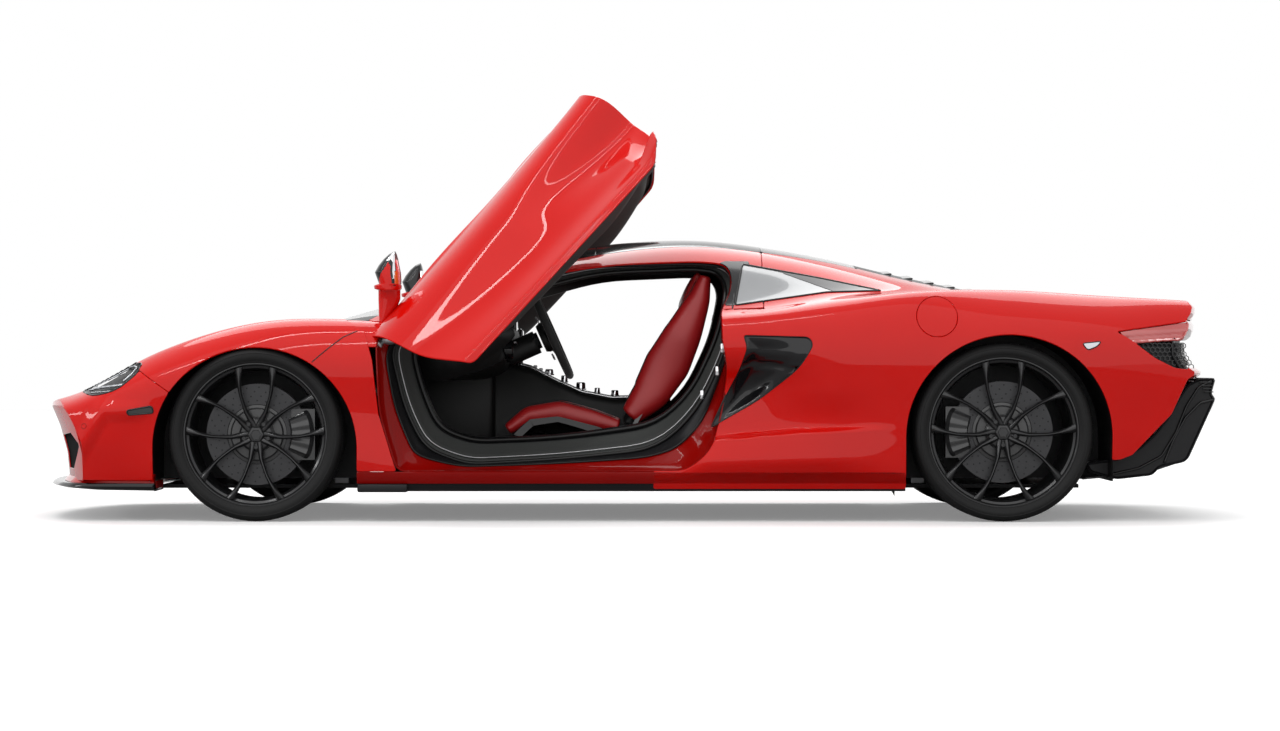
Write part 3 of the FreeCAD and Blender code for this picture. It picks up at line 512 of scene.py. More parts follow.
def makeMaterial(name, colour, second=None, roughness=0.4, spread=0.05, metallic=0.0, bumpHeight=0.0,
                 grainScale=400.0,
                 blotchScale=6.0, weave=0.0, sockets=None):
    material = bpy.data.materials.new(name)
    material.use_nodes = True
    tree = material.node_tree
    shader = tree.nodes["Principled BSDF"]
    shader.inputs["Metallic"].default_value = metallic
    for socket, value in (sockets or {}).items():
        shader.inputs[socket].default_value = value
    detail = addNode(tree, "ShaderNodeGroup", (-900, 0))
    detail.node_tree = surfaceDetail
    detail.inputs["grainScale"].default_value = grainScale
    detail.inputs["blotchScale"].default_value = blotchScale
    tint = addNode(tree, "ShaderNodeMix", (-500, 200), data_type="RGBA")
    tint.inputs["A"].default_value = (*colour, 1)
    tint.inputs["B"].default_value = (*(second or [min(1, c * 1.12) for c in colour]), 1)
    tree.links.new(detail.outputs["blotch"], tint.inputs["Factor"])
    top = tint.outputs["Result"]
    if weave:
        cloth = addNode(tree, "ShaderNodeGroup", (-900, -400))
        cloth.node_tree = twillWeave
        cloth.inputs["strandsPerMetre"].default_value = weave
        strands = addNode(tree, "ShaderNodeMix", (-300, 200), data_type="RGBA")
        strands.inputs["B"].default_value = (*[c * 2.6 + 0.006 for c in colour], 1)
        tree.links.new(top, strands.inputs["A"])
        tree.links.new(cloth.outputs["strand"], strands.inputs["Factor"])
        top = strands.outputs["Result"]
    tree.links.new(top, shader.inputs["Base Color"])
    rough = addNode(tree, "ShaderNodeMapRange", (-500, -100))
    rough.inputs["To Min"].default_value, rough.inputs[
            "To Max"].default_value = roughness - spread, roughness + spread
    tree.links.new(detail.outputs["grain"], rough.inputs["Value"])
    tree.links.new(rough.outputs["Result"], shader.inputs["Roughness"])
    if bumpHeight:
        relief = addNode(tree, "ShaderNodeBump", (-300, -400))
        relief.inputs["Distance"].default_value = bumpHeight
        relief.inputs["Strength"].default_value = 0.6
        source = cloth.outputs["strand"] if weave else detail.outputs["grain"]
        tree.links.new(source, relief.inputs["Height"])
        tree.links.new(relief.outputs["Normal"], shader.inputs["Normal"])
    return material


finish = {
    "paint": makeMaterial("redPaint", (0.60, 0.0025, 0.0008), (0.66, 0.0035, 0.0010), 0.40, 0.03, sockets={
        "Coat Weight": 1.0, "Coat Roughness": 0.02, "Coat IOR": 1.31, "Specular IOR Level": 0.02}),
    # body red darkened to paint shade; used for the doorway returns, the sills and the ring round the parking
    # sensor
    "paintedShadeRed": makeMaterial("redPaintInJambs", (0.24, 0.0016, 0.0008), (0.29, 0.0022, 0.001), 0.35, 0.03,
                               sockets={
        "Coat Weight": 0.9, "Coat Roughness": 0.04, "Coat IOR": 1.22, "Specular IOR Level": 0.05}),
    "blackGloss": makeMaterial("blackGloss", (0.005, 0.005, 0.006), None, 0.14, 0.03,
                               sockets={"Coat Weight": 0.4, "Coat Roughness": 0.03, "Coat IOR": 1.3,
        "Specular IOR Level": 0.3}),
    "blackSatin": makeMaterial("blackSatinPlastic", (0.008, 0.008, 0.009), None, 0.42, 0.06,
                               bumpHeight=0.0003, grainScale=900, sockets={"Specular IOR Level": 0.25}),
    "charcoal": makeMaterial("charcoalTrim", (0.052, 0.055, 0.053), (0.060, 0.062, 0.060), 0.55, 0.05,
                             bumpHeight=0.0002, grainScale=1200, sockets={"Specular IOR Level": 0.2}),
    "carbon": makeMaterial("carbonWeave", (0.010, 0.010, 0.011), None, 0.28, 0.04, weave=170.0,
                           bumpHeight=0.0002, sockets={"Coat Weight": 0.8, "Coat Roughness": 0.04}),
    "rubber": makeMaterial("sealRubber", (0.006, 0.006, 0.006), None, 0.34, 0.06, bumpHeight=0.0003,
                           grainScale=700, sockets={"Specular IOR Level": 0.3}),
    "tyre": makeMaterial("tyreRubber", (0.008, 0.008, 0.0085), (0.012, 0.012, 0.012), 0.58, 0.07,
                         bumpHeight=0.0006, grainScale=350, sockets={"Specular IOR Level": 0.2}),
    "wheel": makeMaterial("satinBlackWheel", (0.018, 0.018, 0.019), None, 0.3, 0.04, metallic=0.55,
                          sockets={"Coat Weight": 0.35, "Coat Roughness": 0.15}),
    "disc": makeMaterial("groundDisc", (0.035, 0.035, 0.037), (0.050, 0.050, 0.052), 0.35, 0.08,
                         metallic=0.7, bumpHeight=0.0003, grainScale=250),
    "caliper": makeMaterial("darkCaliper", (0.02, 0.02, 0.021), None, 0.35, 0.05,
                            sockets={"Coat Weight": 0.4}),
    "metal": makeMaterial("castAluminium", (0.42, 0.42, 0.43), None, 0.38, 0.08, metallic=0.9,
                          bumpHeight=0.0004, grainScale=300),
    "chrome": makeMaterial("brightMetal", (0.75, 0.75, 0.77), None, 0.09, 0.03, metallic=1.0),
    "leatherRed": makeMaterial("redLeather", (0.33, 0.006, 0.008), (0.4, 0.009, 0.01), 0.42, 0.06,
                               bumpHeight=0.0008, grainScale=420,
                               sockets={"Coat Weight": 0.15, "Coat Roughness": 0.3}),
    "leatherBlack": makeMaterial("blackLeather", (0.008, 0.008, 0.008), None, 0.46, 0.06, bumpHeight=0.0008,
                                 grainScale=420, sockets={"Specular IOR Level": 0.3}),
    "suede": makeMaterial("blackSuede", (0.012, 0.012, 0.012), None, 0.85, 0.05, bumpHeight=0.0006,
                          grainScale=1500, sockets={"Sheen Weight": 0.4, "Sheen Roughness": 0.4}),
    "thread": makeMaterial("redThread", (0.55, 0.02, 0.015), None, 0.6, 0.05),
    "glassDark": makeMaterial("darkGlass", (0.006, 0.007, 0.008), None, 0.04, 0.015,
                              sockets={"Coat Weight": 1.0, "Coat Roughness": 0.01, "Alpha": 0.82}),
    "glassGrey": makeMaterial("greyGlass", (0.30, 0.31, 0.32), (0.36, 0.37, 0.38), 0.12, 0.03,
                              sockets={"Coat Weight": 0.8, "Coat Roughness": 0.02}),
    "lampSilver": makeMaterial("lampSilver", (0.42, 0.43, 0.45), None, 0.16, 0.04, metallic=0.85),
    "lampRed": makeMaterial("tailLampRed", (0.45, 0.03, 0.03), (0.62, 0.12, 0.11), 0.16, 0.03,
                            sockets={"Coat Weight": 0.9, "Coat Roughness": 0.02}),
    "amber": makeMaterial("amberLens", (0.75, 0.12, 0.01), None, 0.15, 0.03, sockets={"Coat Weight": 0.8}),
    "mirror": makeMaterial("mirrorGlass", (0.8, 0.8, 0.82), None, 0.03, 0.01, metallic=1.0),
    "screen": makeMaterial("displayGlass", (0.004, 0.005, 0.008), (0.012, 0.016, 0.022), 0.08, 0.02,
                           sockets={"Coat Weight": 1.0}),
    "engine": makeMaterial("engineCasting", (0.10, 0.10, 0.105), None, 0.5, 0.08, metallic=0.7,
                           bumpHeight=0.001, grainScale=160),
}
print("materials made")


grid = makeSurface()
gridX = grid[:, 0, 0]


def rowAt(x):
    # the body's outline at one distance along the car
    return grid[int(np.clip(round((x - gridX[0]) / surfaceGrid["stepX"]), 0, len(gridX) - 1))]


# side-view outlines in mm: distance behind the anchor, height and, where given, the corner's own radius
outlines = {
    "headlamp": ("frontAxle", [(-665, 484), (-616, 533, 40), (-492, 586, 40), (-428, 589, 10), (-443, 548),
                               (-511, 488, 40),
                               (-605, 465, 30)]),
    "intake": ("rearAxle", [(-965, 693, 12), (-721, 686, 25), (-706, 656, 25), (-755, 571, 50),
                            (-903, 452, 50), (-1084, 348, 10),
                            (-1028, 469, 40), (-979, 560, 40), (-951, 645, 20)]),
    "quarterGlass": ("rearAxle", [(-993, 806, 8), (-645, 856, 10), (-440, 862, 6), (-689, 915, 60),
                                  (-960, 965, 8)]),
}


def outline(name):
    anchor, corners = outlines[name]
    scaled = [(car[anchor] + c[0] / 1000, c[1] / 1000) + tuple(r / 1000 for r in c[2:]) for c in corners]
    return roundedOutline(scaled, 0.012)


def insideOutline(name):
    corners = outline(name)
    return lambda x, y, z: outlineDistance(x, z, corners)


doorLoop = [(-0.949, 0.680), (-0.935, 0.400, 0.06), (-0.868, 0.190, 0.03), (0.200, 0.190, 0.04),
            (0.300, 0.270, 0.07), (0.340, 0.440, 0.09),
            (0.356, 0.570, 0.06), (0.336, 0.672, 0.018), (0.334, 0.785, 0.02), (0.379, 0.870, 0.06),
            (0.368, 0.964, 0.05), (0.255, 0.976, 0.08),
            (-0.169, 0.962, 0.2), (-0.839, 0.790, 0.06)]


def doorway(x, y, z):
    return outlineDistance(x, z, roundedOutline(doorLoop, 0.01))


def insidePlan(corners):
    return lambda x, y, z: outlineDistance(x, np.abs(y), corners)


# each arch: radius, the wheel centre's height, how far the arch's centre lies below and behind it
archShapes = {
    "front": {"radius": 0.378, "wheelHeight": 0.323, "drop": 0.053, "shift": 0.0},
    "rear": {"radius": 0.382, "wheelHeight": 0.332, "drop": 0.020, "shift": 0.019},
}


def wheelArch(end):
    arch = archShapes[end]
    middle = car[f"{end}Axle"]

    def field(x, y, z):
        across = x - middle - arch["shift"]
        up = z - arch["wheelHeight"] + arch["drop"]
        legs = np.maximum(np.abs(across) - arch["radius"], up)
        return np.minimum(np.hypot(across, up) - arch["radius"], legs)
    return field


def sideShape(x, y, z):
    # modelled lines on the side: the nose's ridge, the blade above the sill and the hollow ahead of the intake
    fold = lineHeight(x, [(0.18, 0.275), (0.30, 0.305), (0.62, 0.335), (0.96, 0.350)])
    fade = ramp(x, 0.16, 0.30) * (1 - ramp(x, 0.62, 0.99))
    out = 0.038 * fade * (1 - ramp(z, fold - 0.004, fold + 0.006)) * ramp(z, 0.15, 0.24)
    edge = np.minimum(segmentDistance(x, z, (-1.77, 0.412), (-1.962, 0.412)),
                      segmentDistance(x, z, (-1.962, 0.412), (-2.095, 0.203)))
    out = out + 0.014 * (1 - ramp(edge, 0.0, 0.05)) * (1 - ramp(x, -1.86, -1.77))
    out = out - 0.034 * fade * ramp(z, fold - 0.002, fold + 0.012) * (1 - ramp(z, fold + 0.02, fold + 0.16))
    hollow = ramp(x, -0.35, 0.34) * (1 - ramp(x, 0.36, 0.80))
    return out - 0.085 * hollow * bump(z, 0.490, 0.105)


def dressGrid(points):
    shaped = points.copy()
    x, y, z = points[..., 0], points[..., 1], points[..., 2]
    side = ramp(np.abs(y), 0.70, 0.86)
    shaped[..., 1] = y - side * sideShape(x, y, z)
    return shaped


def patch(x0, x1, step=2, low=0, high=None):
    rows = np.where((gridX >= x0) & (gridX <= x1))[0][::step]
    return grid[np.ix_(rows, np.arange(low, (high or grid.shape[1] - 1) + 1))]


def anyOf(*fields):
    return lambda x, y, z: np.minimum.reduce([field(x, y, z) for field in fields])


def allOf(*fields):
    return lambda x, y, z: np.maximum.reduce([field(x, y, z) for field in fields])


def without(field, *holes, gap=None):
    gap = car["panelGap"] / 2 if gap is None else gap
    return lambda x, y, z: np.maximum.reduce([field(x, y, z) + gap] + [gap - hole(x, y, z)
            for hole in holes])


def behind(x0):
    return lambda x, y, z: x0 - x


def ahead(x0):
    return lambda x, y, z: x - x0


def above(z0):
    return lambda x, y, z: z0 - z


def below(z0):
    return lambda x, y, z: z - z0


def frontFace(y, z):
    # how far back the nose lies at a place on it: bowed in plan and raked under the leading edge
    bow = 0.150 * (np.abs(y) / 0.85) ** 2
    return car["nose"] + bow + np.interp(z, [0.112, 0.165, 0.249, 0.347, 0.425, 0.60],
            [0.069, 0.067, 0.058, 0.032, 0.0, 0.030])


def rearFace(y, z):
    bow = 0.110 * (np.abs(y) / 0.85) ** 2
    steps = [(0.15, 0.30), (0.40, 0.06), (0.53, 0.0), (0.545, -0.022), (0.558, -0.022), (0.574, 0.004),
             (0.62, 0.030), (0.675, 0.032), (0.690, 0.014),
             (0.715, 0.004), (0.735, 0.003), (0.748, 0.013), (0.756, 0.013), (0.775, 0.002), (0.800, 0.0),
             (0.820, 0.019), (0.84, 0.05)]
    return car["tail"] - 0.077 - bow - lineHeight(z, steps)


def noseLimit(x, y, z):
    return x - frontFace(y, z)


def tailLimit(x, y, z):
    return rearFace(y, z) - x


def makePanel(name, points, field, material, thickness=None):
    points = dressGrid(points)
    verts, faces = clipGrid(points, field(points[..., 0], points[..., 1], points[..., 2]))
    panel = thicken(name, verts, faces, thickness or car["panelThickness"], material)
    return mirrorObject(panel, join=True)


frontAxle, rearAxle = car["frontAxle"], car["rearAxle"]
bonnetFront, bonnetRear = frontAxle - 0.681, frontAxle + 0.160
screenBase, screenTop = frontAxle + 0.215, frontAxle + 1.259
roofRear = rearAxle - 0.885
coverFront, coverRear = rearAxle - 0.520, rearAxle + 0.570
brakeFront = car["tail"] - 0.250

plans = {
    "bonnet": [(bonnetFront, -1), (bonnetFront, 0.437), (bonnetRear, 0.560), (bonnetRear, -1)],
    "cowl": [(bonnetRear, -1), (bonnetRear, 0.600), (frontAxle + 0.400, 0.640), (frontAxle + 0.430, 0.600),
             (screenBase + 0.090, 0.380), (screenBase, 0.0), (screenBase, -1)],
    "screen": [(screenBase, -1), (screenBase, 0.0), (screenBase + 0.090, 0.380), (frontAxle + 0.430, 0.600),
               (screenTop, 0.485), (screenTop, -1)],
    "roof": [(screenTop, -1), (screenTop, 0.485), (roofRear, 0.470), (roofRear, -1)],
    "rearScreen": [(roofRear, -1), (roofRear, 0.470), (coverFront, 0.450), (coverFront, -1)],
    "cover": [(coverFront, -1), (coverFront, 0.430), (coverRear, 0.470), (coverRear, -1)],
    "brake": [(brakeFront, -1), (brakeFront, 0.600), (car["tail"] + 0.1, 0.600), (car["tail"] + 0.1, -1)],
}

headlamp, intake, quarterGlass = insideOutline("headlamp"), insideOutline("intake"), insideOutline(
        "quarterGlass")
onPlan = {name: insidePlan(corners) for name, corners in plans.items()}
noseSeam = [(frontAxle - 1.3, 0.152), (frontAxle - 0.300, 0.152), (frontAxle - 0.300, 0.470),
            (frontAxle - 0.430, 0.560),
            (frontAxle - 0.590, 0.530), (frontAxle - 0.681, 0.500), (frontAxle - 0.681, 0.900),
            (frontAxle - 1.3, 0.900)]
noseZone = lambda x, y, z: outlineDistance(x, z, noseSeam)


def rightOfLine(points):
    # positive behind a line that runs up the side of the body
    zs = [z for _, z in points]
    xs = [x for x, _ in points]
    order = np.argsort(zs)
    return lambda x, y, z: x - np.interp(z, np.array(zs)[order], np.array(xs)[order])


wingEdge = rightOfLine([(frontAxle + 0.526, 0.186), (frontAxle + 0.459, 0.400), (frontAxle + 0.436, 0.600),
                        (frontAxle + 0.405, 0.705), (frontAxle + 0.300, 0.770)])


def onSide(width):
    return lambda x, y, z: width - np.abs(y)


def makeBodyPanels():
    nosePatch = patch(-2.3, frontAxle - 0.25, 1)
    lampAtSide = allOf(headlamp, onSide(0.60))
    noseSkin = makePanel("noseSkin", nosePatch, without(allOf(noseZone, above(0.152)), onPlan["bonnet"],
            lampAtSide, wheelArch("front"), noseLimit, cornerIntake), finish["paint"])
    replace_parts(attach(noseSkin, "body"), "nose")
    wing = makePanel("frontWings", patch(frontAxle - 0.70, frontAxle + 0.56, 1, 10),
                     without(allOf(wingEdge, above(0.186)), noseZone, onPlan["bonnet"], onPlan["cowl"],
                             onPlan["screen"], lampAtSide, wheelArch("front")), finish["paint"])
    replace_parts(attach(wing, "body"), "front_wings")
    bonnet = makePanel("bonnetSkin", patch(bonnetFront - 0.05, bonnetRear + 0.05, 2, 60),
                       without(onPlan["bonnet"]), finish["paint"])
    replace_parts(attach(bonnet, "bonnet"), "bonnet")
    cowl = makePanel("cowlSkin", patch(bonnetRear - 0.05, frontAxle + 0.50, 1, 60),
                     without(allOf(onPlan["cowl"], above(0.5))), finish["blackSatin"])
    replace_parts(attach(cowl, "body"), "cowl")
    screen = makePanel("windscreenGlass", patch(screenBase - 0.05, screenTop + 0.05, 2, 80),
                       without(onPlan["screen"]), finish["glassDark"], thickness=0.005)
    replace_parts(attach(screen, "body"), "windscreen")
    roof = makePanel("roofSkin", patch(screenTop - 0.05, roofRear + 0.05, 2, 100), without(onPlan["roof"]),
                     finish["blackGloss"])
    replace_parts(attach(roof, "body"), "roof_panel")
    rearGlass = makePanel("rearScreenGlass", patch(roofRear - 0.05, coverFront + 0.05, 2, 100),
                          without(onPlan["rearScreen"]), finish["glassDark"], thickness=0.005)
    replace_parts(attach(rearGlass, "body"), "rear_screen")
    railZone = allOf(behind(frontAxle + 0.300), ahead(roofRear), lambda x, y,
                     z: lineHeight(x, [(-1.1, 0.77), (-0.96, 0.744), (-0.685, 0.768), (0.342, 0.790),
            (0.6, 0.80)]) - z)
    rails = makePanel("roofRails", patch(frontAxle + 0.28, roofRear + 0.02, 1, 90),
                      without(railZone, doorway, quarterGlass, onPlan["screen"], onPlan["roof"],
                              onPlan["cowl"]), finish["paint"])
    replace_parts(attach(rails, "body"), "roof_rails")
    quarterZone = allOf(lambda x, y, z: np.where(z < 0.79, rearAxle - 1.30 - x, rearAxle - 0.885 - x),
                        above(0.120))
    skin = makePanel("rearQuarters", patch(-0.05, car["tail"] - 0.12, 1, 0),
                     without(quarterZone, onPlan["cover"], onPlan["rearScreen"], intake, quarterGlass,
                             wheelArch("rear"), doorway, tailZone, fuelFlap, brakeLid, tailLimit),
                     finish["paint"])
    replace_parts(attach(skin, "body"), "rear_quarters")
    glass = makePanel("quarterGlassPanes", patch(rearAxle - 1.02, rearAxle - 0.40, 1, 90),
                      without(allOf(quarterGlass, onSide(0.48))), finish["glassGrey"], thickness=0.005)
    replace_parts(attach(glass, "body"), "quarter_glass")
    print("main panels made")


tailOutlines = {
    "lamp": [(-474, 706), (-180, 747), (60, 752), (60, 676), (-286, 676), (-406, 665), (-436, 687)],
    "grille": [(-406, 665), (-286, 676), (60, 676), (60, 571), (-218, 567), (-256, 571), (-331, 608)],
    "diffuser": [(-600, 229), (-462, 229), (-406, 251), (-361, 277), (-308, 323), (-256, 390), (-218, 458),
                 (-181, 510), (-135, 533), (200, 533), (200, 0), (-600, 0)],
}
tailCorners = {name: roundedOutline([(car["tail"] + dx / 1000, z / 1000) for dx, z in corners], 0.012)
               for name, corners in tailOutlines.items()}
flapCentre, flapRadius = (rearAxle - 0.247, 0.762), 0.076
inTail = {name: (lambda x, y, z, corners=corners: outlineDistance(x, z, corners)) for name,
          corners in tailCorners.items()}
tailZone = anyOf(inTail["lamp"], inTail["grille"], inTail["diffuser"])
brakeLid = allOf(onPlan["brake"], above(0.76))


def fuelFlap(x, y, z):
    return np.maximum(np.hypot(x - flapCentre[0], z - flapCentre[1]) - flapRadius, 0.5 - np.abs(y))


def cornerIntake(x, y, z):
    # the opening at each corner of the nose: bounded inboard, above, below and by a slanted rear edge
    slant = x - np.interp(z, [0.19, 0.285, 0.335], [-2.106, -2.053, -2.110])
    return np.maximum.reduce([0.53 - np.abs(y), z - 0.335 + 0.05 * (0.9 - np.abs(y)), 0.19 - z, slant])


makeBodyPanels()


def makeCopiesTree():
    # copies a piece, each one turned and moved a step further than the last
    tree = bpy.data.node_groups.new("copiesInARow", "GeometryNodeTree")
    face = tree.interface
    face.new_socket("Geometry", in_out="INPUT", socket_type="NodeSocketGeometry")
    face.new_socket("Count", in_out="INPUT", socket_type="NodeSocketInt").default_value = 5
    face.new_socket("Turn", in_out="INPUT", socket_type="NodeSocketVector")
    face.new_socket("Step", in_out="INPUT", socket_type="NodeSocketVector")
    face.new_socket("Material", in_out="INPUT", socket_type="NodeSocketMaterial")
    face.new_socket("Geometry", in_out="OUTPUT", socket_type="NodeSocketGeometry")
    start, end = addNode(tree, "NodeGroupInput"), addNode(tree, "NodeGroupOutput", (1200, 0))
    index = addNode(tree, "GeometryNodeInputIndex", (0, -300))
    dots = addNode(tree, "GeometryNodePoints", (200, 100))
    step = addNode(tree, "ShaderNodeVectorMath", (200, -200), operation="SCALE")
    turn = addNode(tree, "ShaderNodeVectorMath", (200, -400), operation="SCALE")
    copies = addNode(tree, "GeometryNodeInstanceOnPoints", (500, 0))
    real = addNode(tree, "GeometryNodeRealizeInstances", (750, 0))
    coat = addNode(tree, "GeometryNodeSetMaterial", (950, 0))
    links = tree.links
    links.new(start.outputs["Count"], dots.inputs["Count"])
    links.new(start.outputs["Step"], step.inputs[0])
    links.new(index.outputs[0], step.inputs["Scale"])
    links.new(step.outputs["Vector"], dots.inputs["Position"])
    links.new(start.outputs["Turn"], turn.inputs[0])
    links.new(index.outputs[0], turn.inputs["Scale"])
    links.new(dots.outputs["Points"], copies.inputs["Points"])
    links.new(start.outputs["Geometry"], copies.inputs["Instance"])
    links.new(turn.outputs["Vector"], copies.inputs["Rotation"])
    links.new(copies.outputs["Instances"], real.inputs["Geometry"])
    links.new(real.outputs["Geometry"], coat.inputs["Geometry"])
    links.new(start.outputs["Material"], coat.inputs["Material"])
    links.new(coat.outputs["Geometry"], end.inputs["Geometry"])
    return tree


copiesTree = makeCopiesTree()


def repeatPiece(obj, count, material, turn=(0, 0, 0), step=(0, 0, 0)):
    # runs the tree on a piece, keeps the plain mesh that it makes and removes the modifier
    modifier = obj.modifiers.new("copies", "NODES")
    modifier.node_group = copiesTree
    names = {item.name: item.identifier for item in copiesTree.interface.items_tree
             if item.in_out == "INPUT"}
    modifier[names["Count"]] = count
    modifier[names["Turn"]] = turn
    modifier[names["Step"]] = step
    modifier[names["Material"]] = material
    seen = obj.evaluated_get(bpy.context.evaluated_depsgraph_get())
    mesh = bpy.data.meshes.new_from_object(seen)
    obj.modifiers.remove(modifier)
    old = obj.data
    obj.data = mesh
    bpy.data.meshes.remove(old)
    return obj


def honeycomb(name, width, height, cell, wire, place, material, inside):
    # a net of six-sided cells laid on a surface: place turns (across, up, out) into a point
    verts, faces = [], []
    pitchAcross, pitchUp = cell * math.sqrt(3), cell * 1.5
    spokes = [(math.sin(math.pi / 3 * k) * cell, math.cos(math.pi / 3 * k) * cell) for k in range(6)]
    seen = set()
    for row in range(-int(height / pitchUp / 2) - 2, int(height / pitchUp / 2) + 3):
        for column in range(-int(width / pitchAcross / 2) - 2, int(width / pitchAcross / 2) + 3):
            across, up = (column + 0.5 * (row % 2)) * pitchAcross, row * pitchUp
            corners = [(across + a, up + b) for a, b in spokes]
            for (a0, b0), (a1, b1) in zip(corners, corners[1:] + corners[:1]):
                key = tuple(sorted(((round(a0, 4), round(b0, 4)), (round(a1, 4), round(b1, 4)))))
                if key in seen or not (inside(a0, b0) and inside(a1, b1)):
                    continue
                seen.add(key)
                length = math.hypot(a1 - a0, b1 - b0)
                sx, sz = -(b1 - b0) / length * wire / 2, (a1 - a0) / length * wire / 2
                start = len(verts)
                for out in (0, -wire):
                    verts += [place(a0 + sx, b0 + sz, out), place(a0 - sx, b0 - sz, out),
                              place(a1 - sx, b1 - sz, out), place(a1 + sx, b1 + sz, out)]
                faces += [[start + i for i in quad]
                          for quad in ([0, 1, 2, 3], [7, 6, 5, 4], [0, 4, 5, 1], [1, 5, 6, 2], [2, 6, 7, 3],
                        [3, 7, 4, 0])]
    net = newObject(name, verts, faces, material, smooth=False)
    return tidyNormals(net)


def sectionOutline(x):
    # the whole outline of the body across the car at one distance along it, as (y, z) points
    row = rowAt(x)
    left = [(float(y), float(z)) for _, y, z in row[::6]] + [(0.0, float(row[-1, 2]))]
    return left + [(-y, z) for y, z in reversed(left[:-1])]


def insideSection(x, y, z):
    # how far a place lies inside the body's outline, negative inside
    flat = np.empty(np.shape(x))
    for row in range(x.shape[0]):
        for column in range(x.shape[1]):
            outlineHere = sectionOutline(x[row, column])
            flat[row, column] = outlineDistance(np.array(y[row, column]), np.array(z[row, column]),
                    outlineHere)
    return flat


def faceGrid(face, y0, y1, z0, z1, step):
    ys = np.linspace(y0, y1, int((y1 - y0) / step) + 1)
    zs = np.linspace(z0, z1, int((z1 - z0) / step) + 1)
    y, z = np.meshgrid(ys, zs, indexing="ij")
    return np.stack([face(y, z), y, z], -1)


def faceInside(points):
    # coarse test of the body's outline over a face, spread to the full grid
    coarse = points[::3, ::3]
    values = insideSection(coarse[..., 0], coarse[..., 1], coarse[..., 2])
    rows = np.interp(np.arange(points.shape[0]), np.arange(0, points.shape[0], 3),
                     np.arange(coarse.shape[0]))
    columns = np.interp(np.arange(points.shape[1]), np.arange(0, points.shape[1], 3),
                        np.arange(coarse.shape[1]))
    r0, c0 = np.minimum(rows.astype(int), coarse.shape[0] - 2), np.minimum(columns.astype(int),
            coarse.shape[1] - 2)
    fr, fc = (rows - r0)[:, None], (columns - c0)[None, :]
    return ((values[np.ix_(r0, c0)] * (1 - fc) + values[np.ix_(r0, c0 + 1)] * fc) * (1 - fr)
            + (values[np.ix_(r0 + 1, c0)] * (1 - fc) + values[np.ix_(r0 + 1, c0 + 1)] * fc) * fr)


frontEnd = {"centreIntake": [(-0.42, 0.200), (0.42, 0.200), (0.47, 0.292), (-0.47, 0.292)],
            "ductDepth": 0.16, "grilleCell": 0.013, "grilleWire": 0.003}


def makeFrontEnd():
    points = faceGrid(frontFace, -0.92, 0.92, 0.13, 0.46, 0.012)
    centre = roundedOutline(frontEnd["centreIntake"], 0.04)
    hole = lambda x, y, z: outlineDistance(y, z, centre)
    edge = faceInside(points)
    field = np.maximum.reduce([edge, 0.152 - points[..., 2], -hole(*np.moveaxis(points, -1, 0)),
                               -cornerIntake(*np.moveaxis(points, -1, 0))])
    verts, faces = clipGrid(points, field)
    faces = [list(reversed(face)) for face in faces]
    fascia = thicken("noseFascia", verts, faces, 0.004, finish["paint"])
    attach(fascia, "body")
    deep = lambda y, z: frontFace(y, z) + 0.055
    for label, y0, y1 in (("centre", -0.45, 0.45), ("left", -0.86, -0.53), ("right", 0.53, 0.86)):
        middle = (y0 + y1) / 2
        net = honeycomb(f"{label}IntakeMesh", y1 - y0, 0.15, frontEnd["grilleCell"], frontEnd["grilleWire"],
                        lambda a, b, out, middle=middle: (float(deep(middle + a, 0.262 + b)) - out,
                middle + a, 0.262 + b), finish["blackSatin"],
                        lambda a, b, half=(y1 - y0) / 2: abs(a) < half and abs(b) < 0.085)
        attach(net, "body")
        walls = []
        ring = roundedOutline([(y0 - 0.01, 0.175), (y1 + 0.01, 0.175), (y1 + 0.01, 0.335),
                               (y0 - 0.01, 0.335)], 0.03)
        for depth in (0.006, frontEnd["ductDepth"]):
            walls.append([(float(frontFace(y, z)) + depth, y, z) for y, z in evenLoop(ring, 60)])
        verts, faces = bridge(np.array(walls))
        faces.append([60 + i for i in range(60)])
        duct = newObject(f"{label}IntakeDuct", verts, faces, finish["blackSatin"])
        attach(tidyNormals(duct), "body")
    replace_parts(net, "intake_grilles")


makeFrontEnd()


def sideY(x, z, inward=0.0):
    # where the left side of the body lies at a distance along the car and a height
    row = rowAt(x)
    y = float(np.interp(z, np.maximum.accumulate(row[:, 2]), row[:, 1]))
    return y - float(ramp(abs(y), 0.70, 0.86) * sideShape(x, y, z)) + inward


joints = {joint["name"]: joint for joint in frame["joints"]}
doorJoint = joints["door_left_swing"]
doorPivot = Vector(doorJoint["pos_m"])
doorTurn = (Matrix.Translation(doorPivot)
            @ Matrix.Rotation(-math.radians(doorJoint["range_deg"][1]), 4, Vector(doorJoint["axis"]))
            @ Matrix.Translation(-doorPivot))

doorShape = {
    "skin": 0.005, "linerInset": 0.016, "edgeDepth": 0.008, "frameDepth": 0.030, "linerDepth": 0.105,
    "belt": 0.77, "sealRadius": 0.006,
}


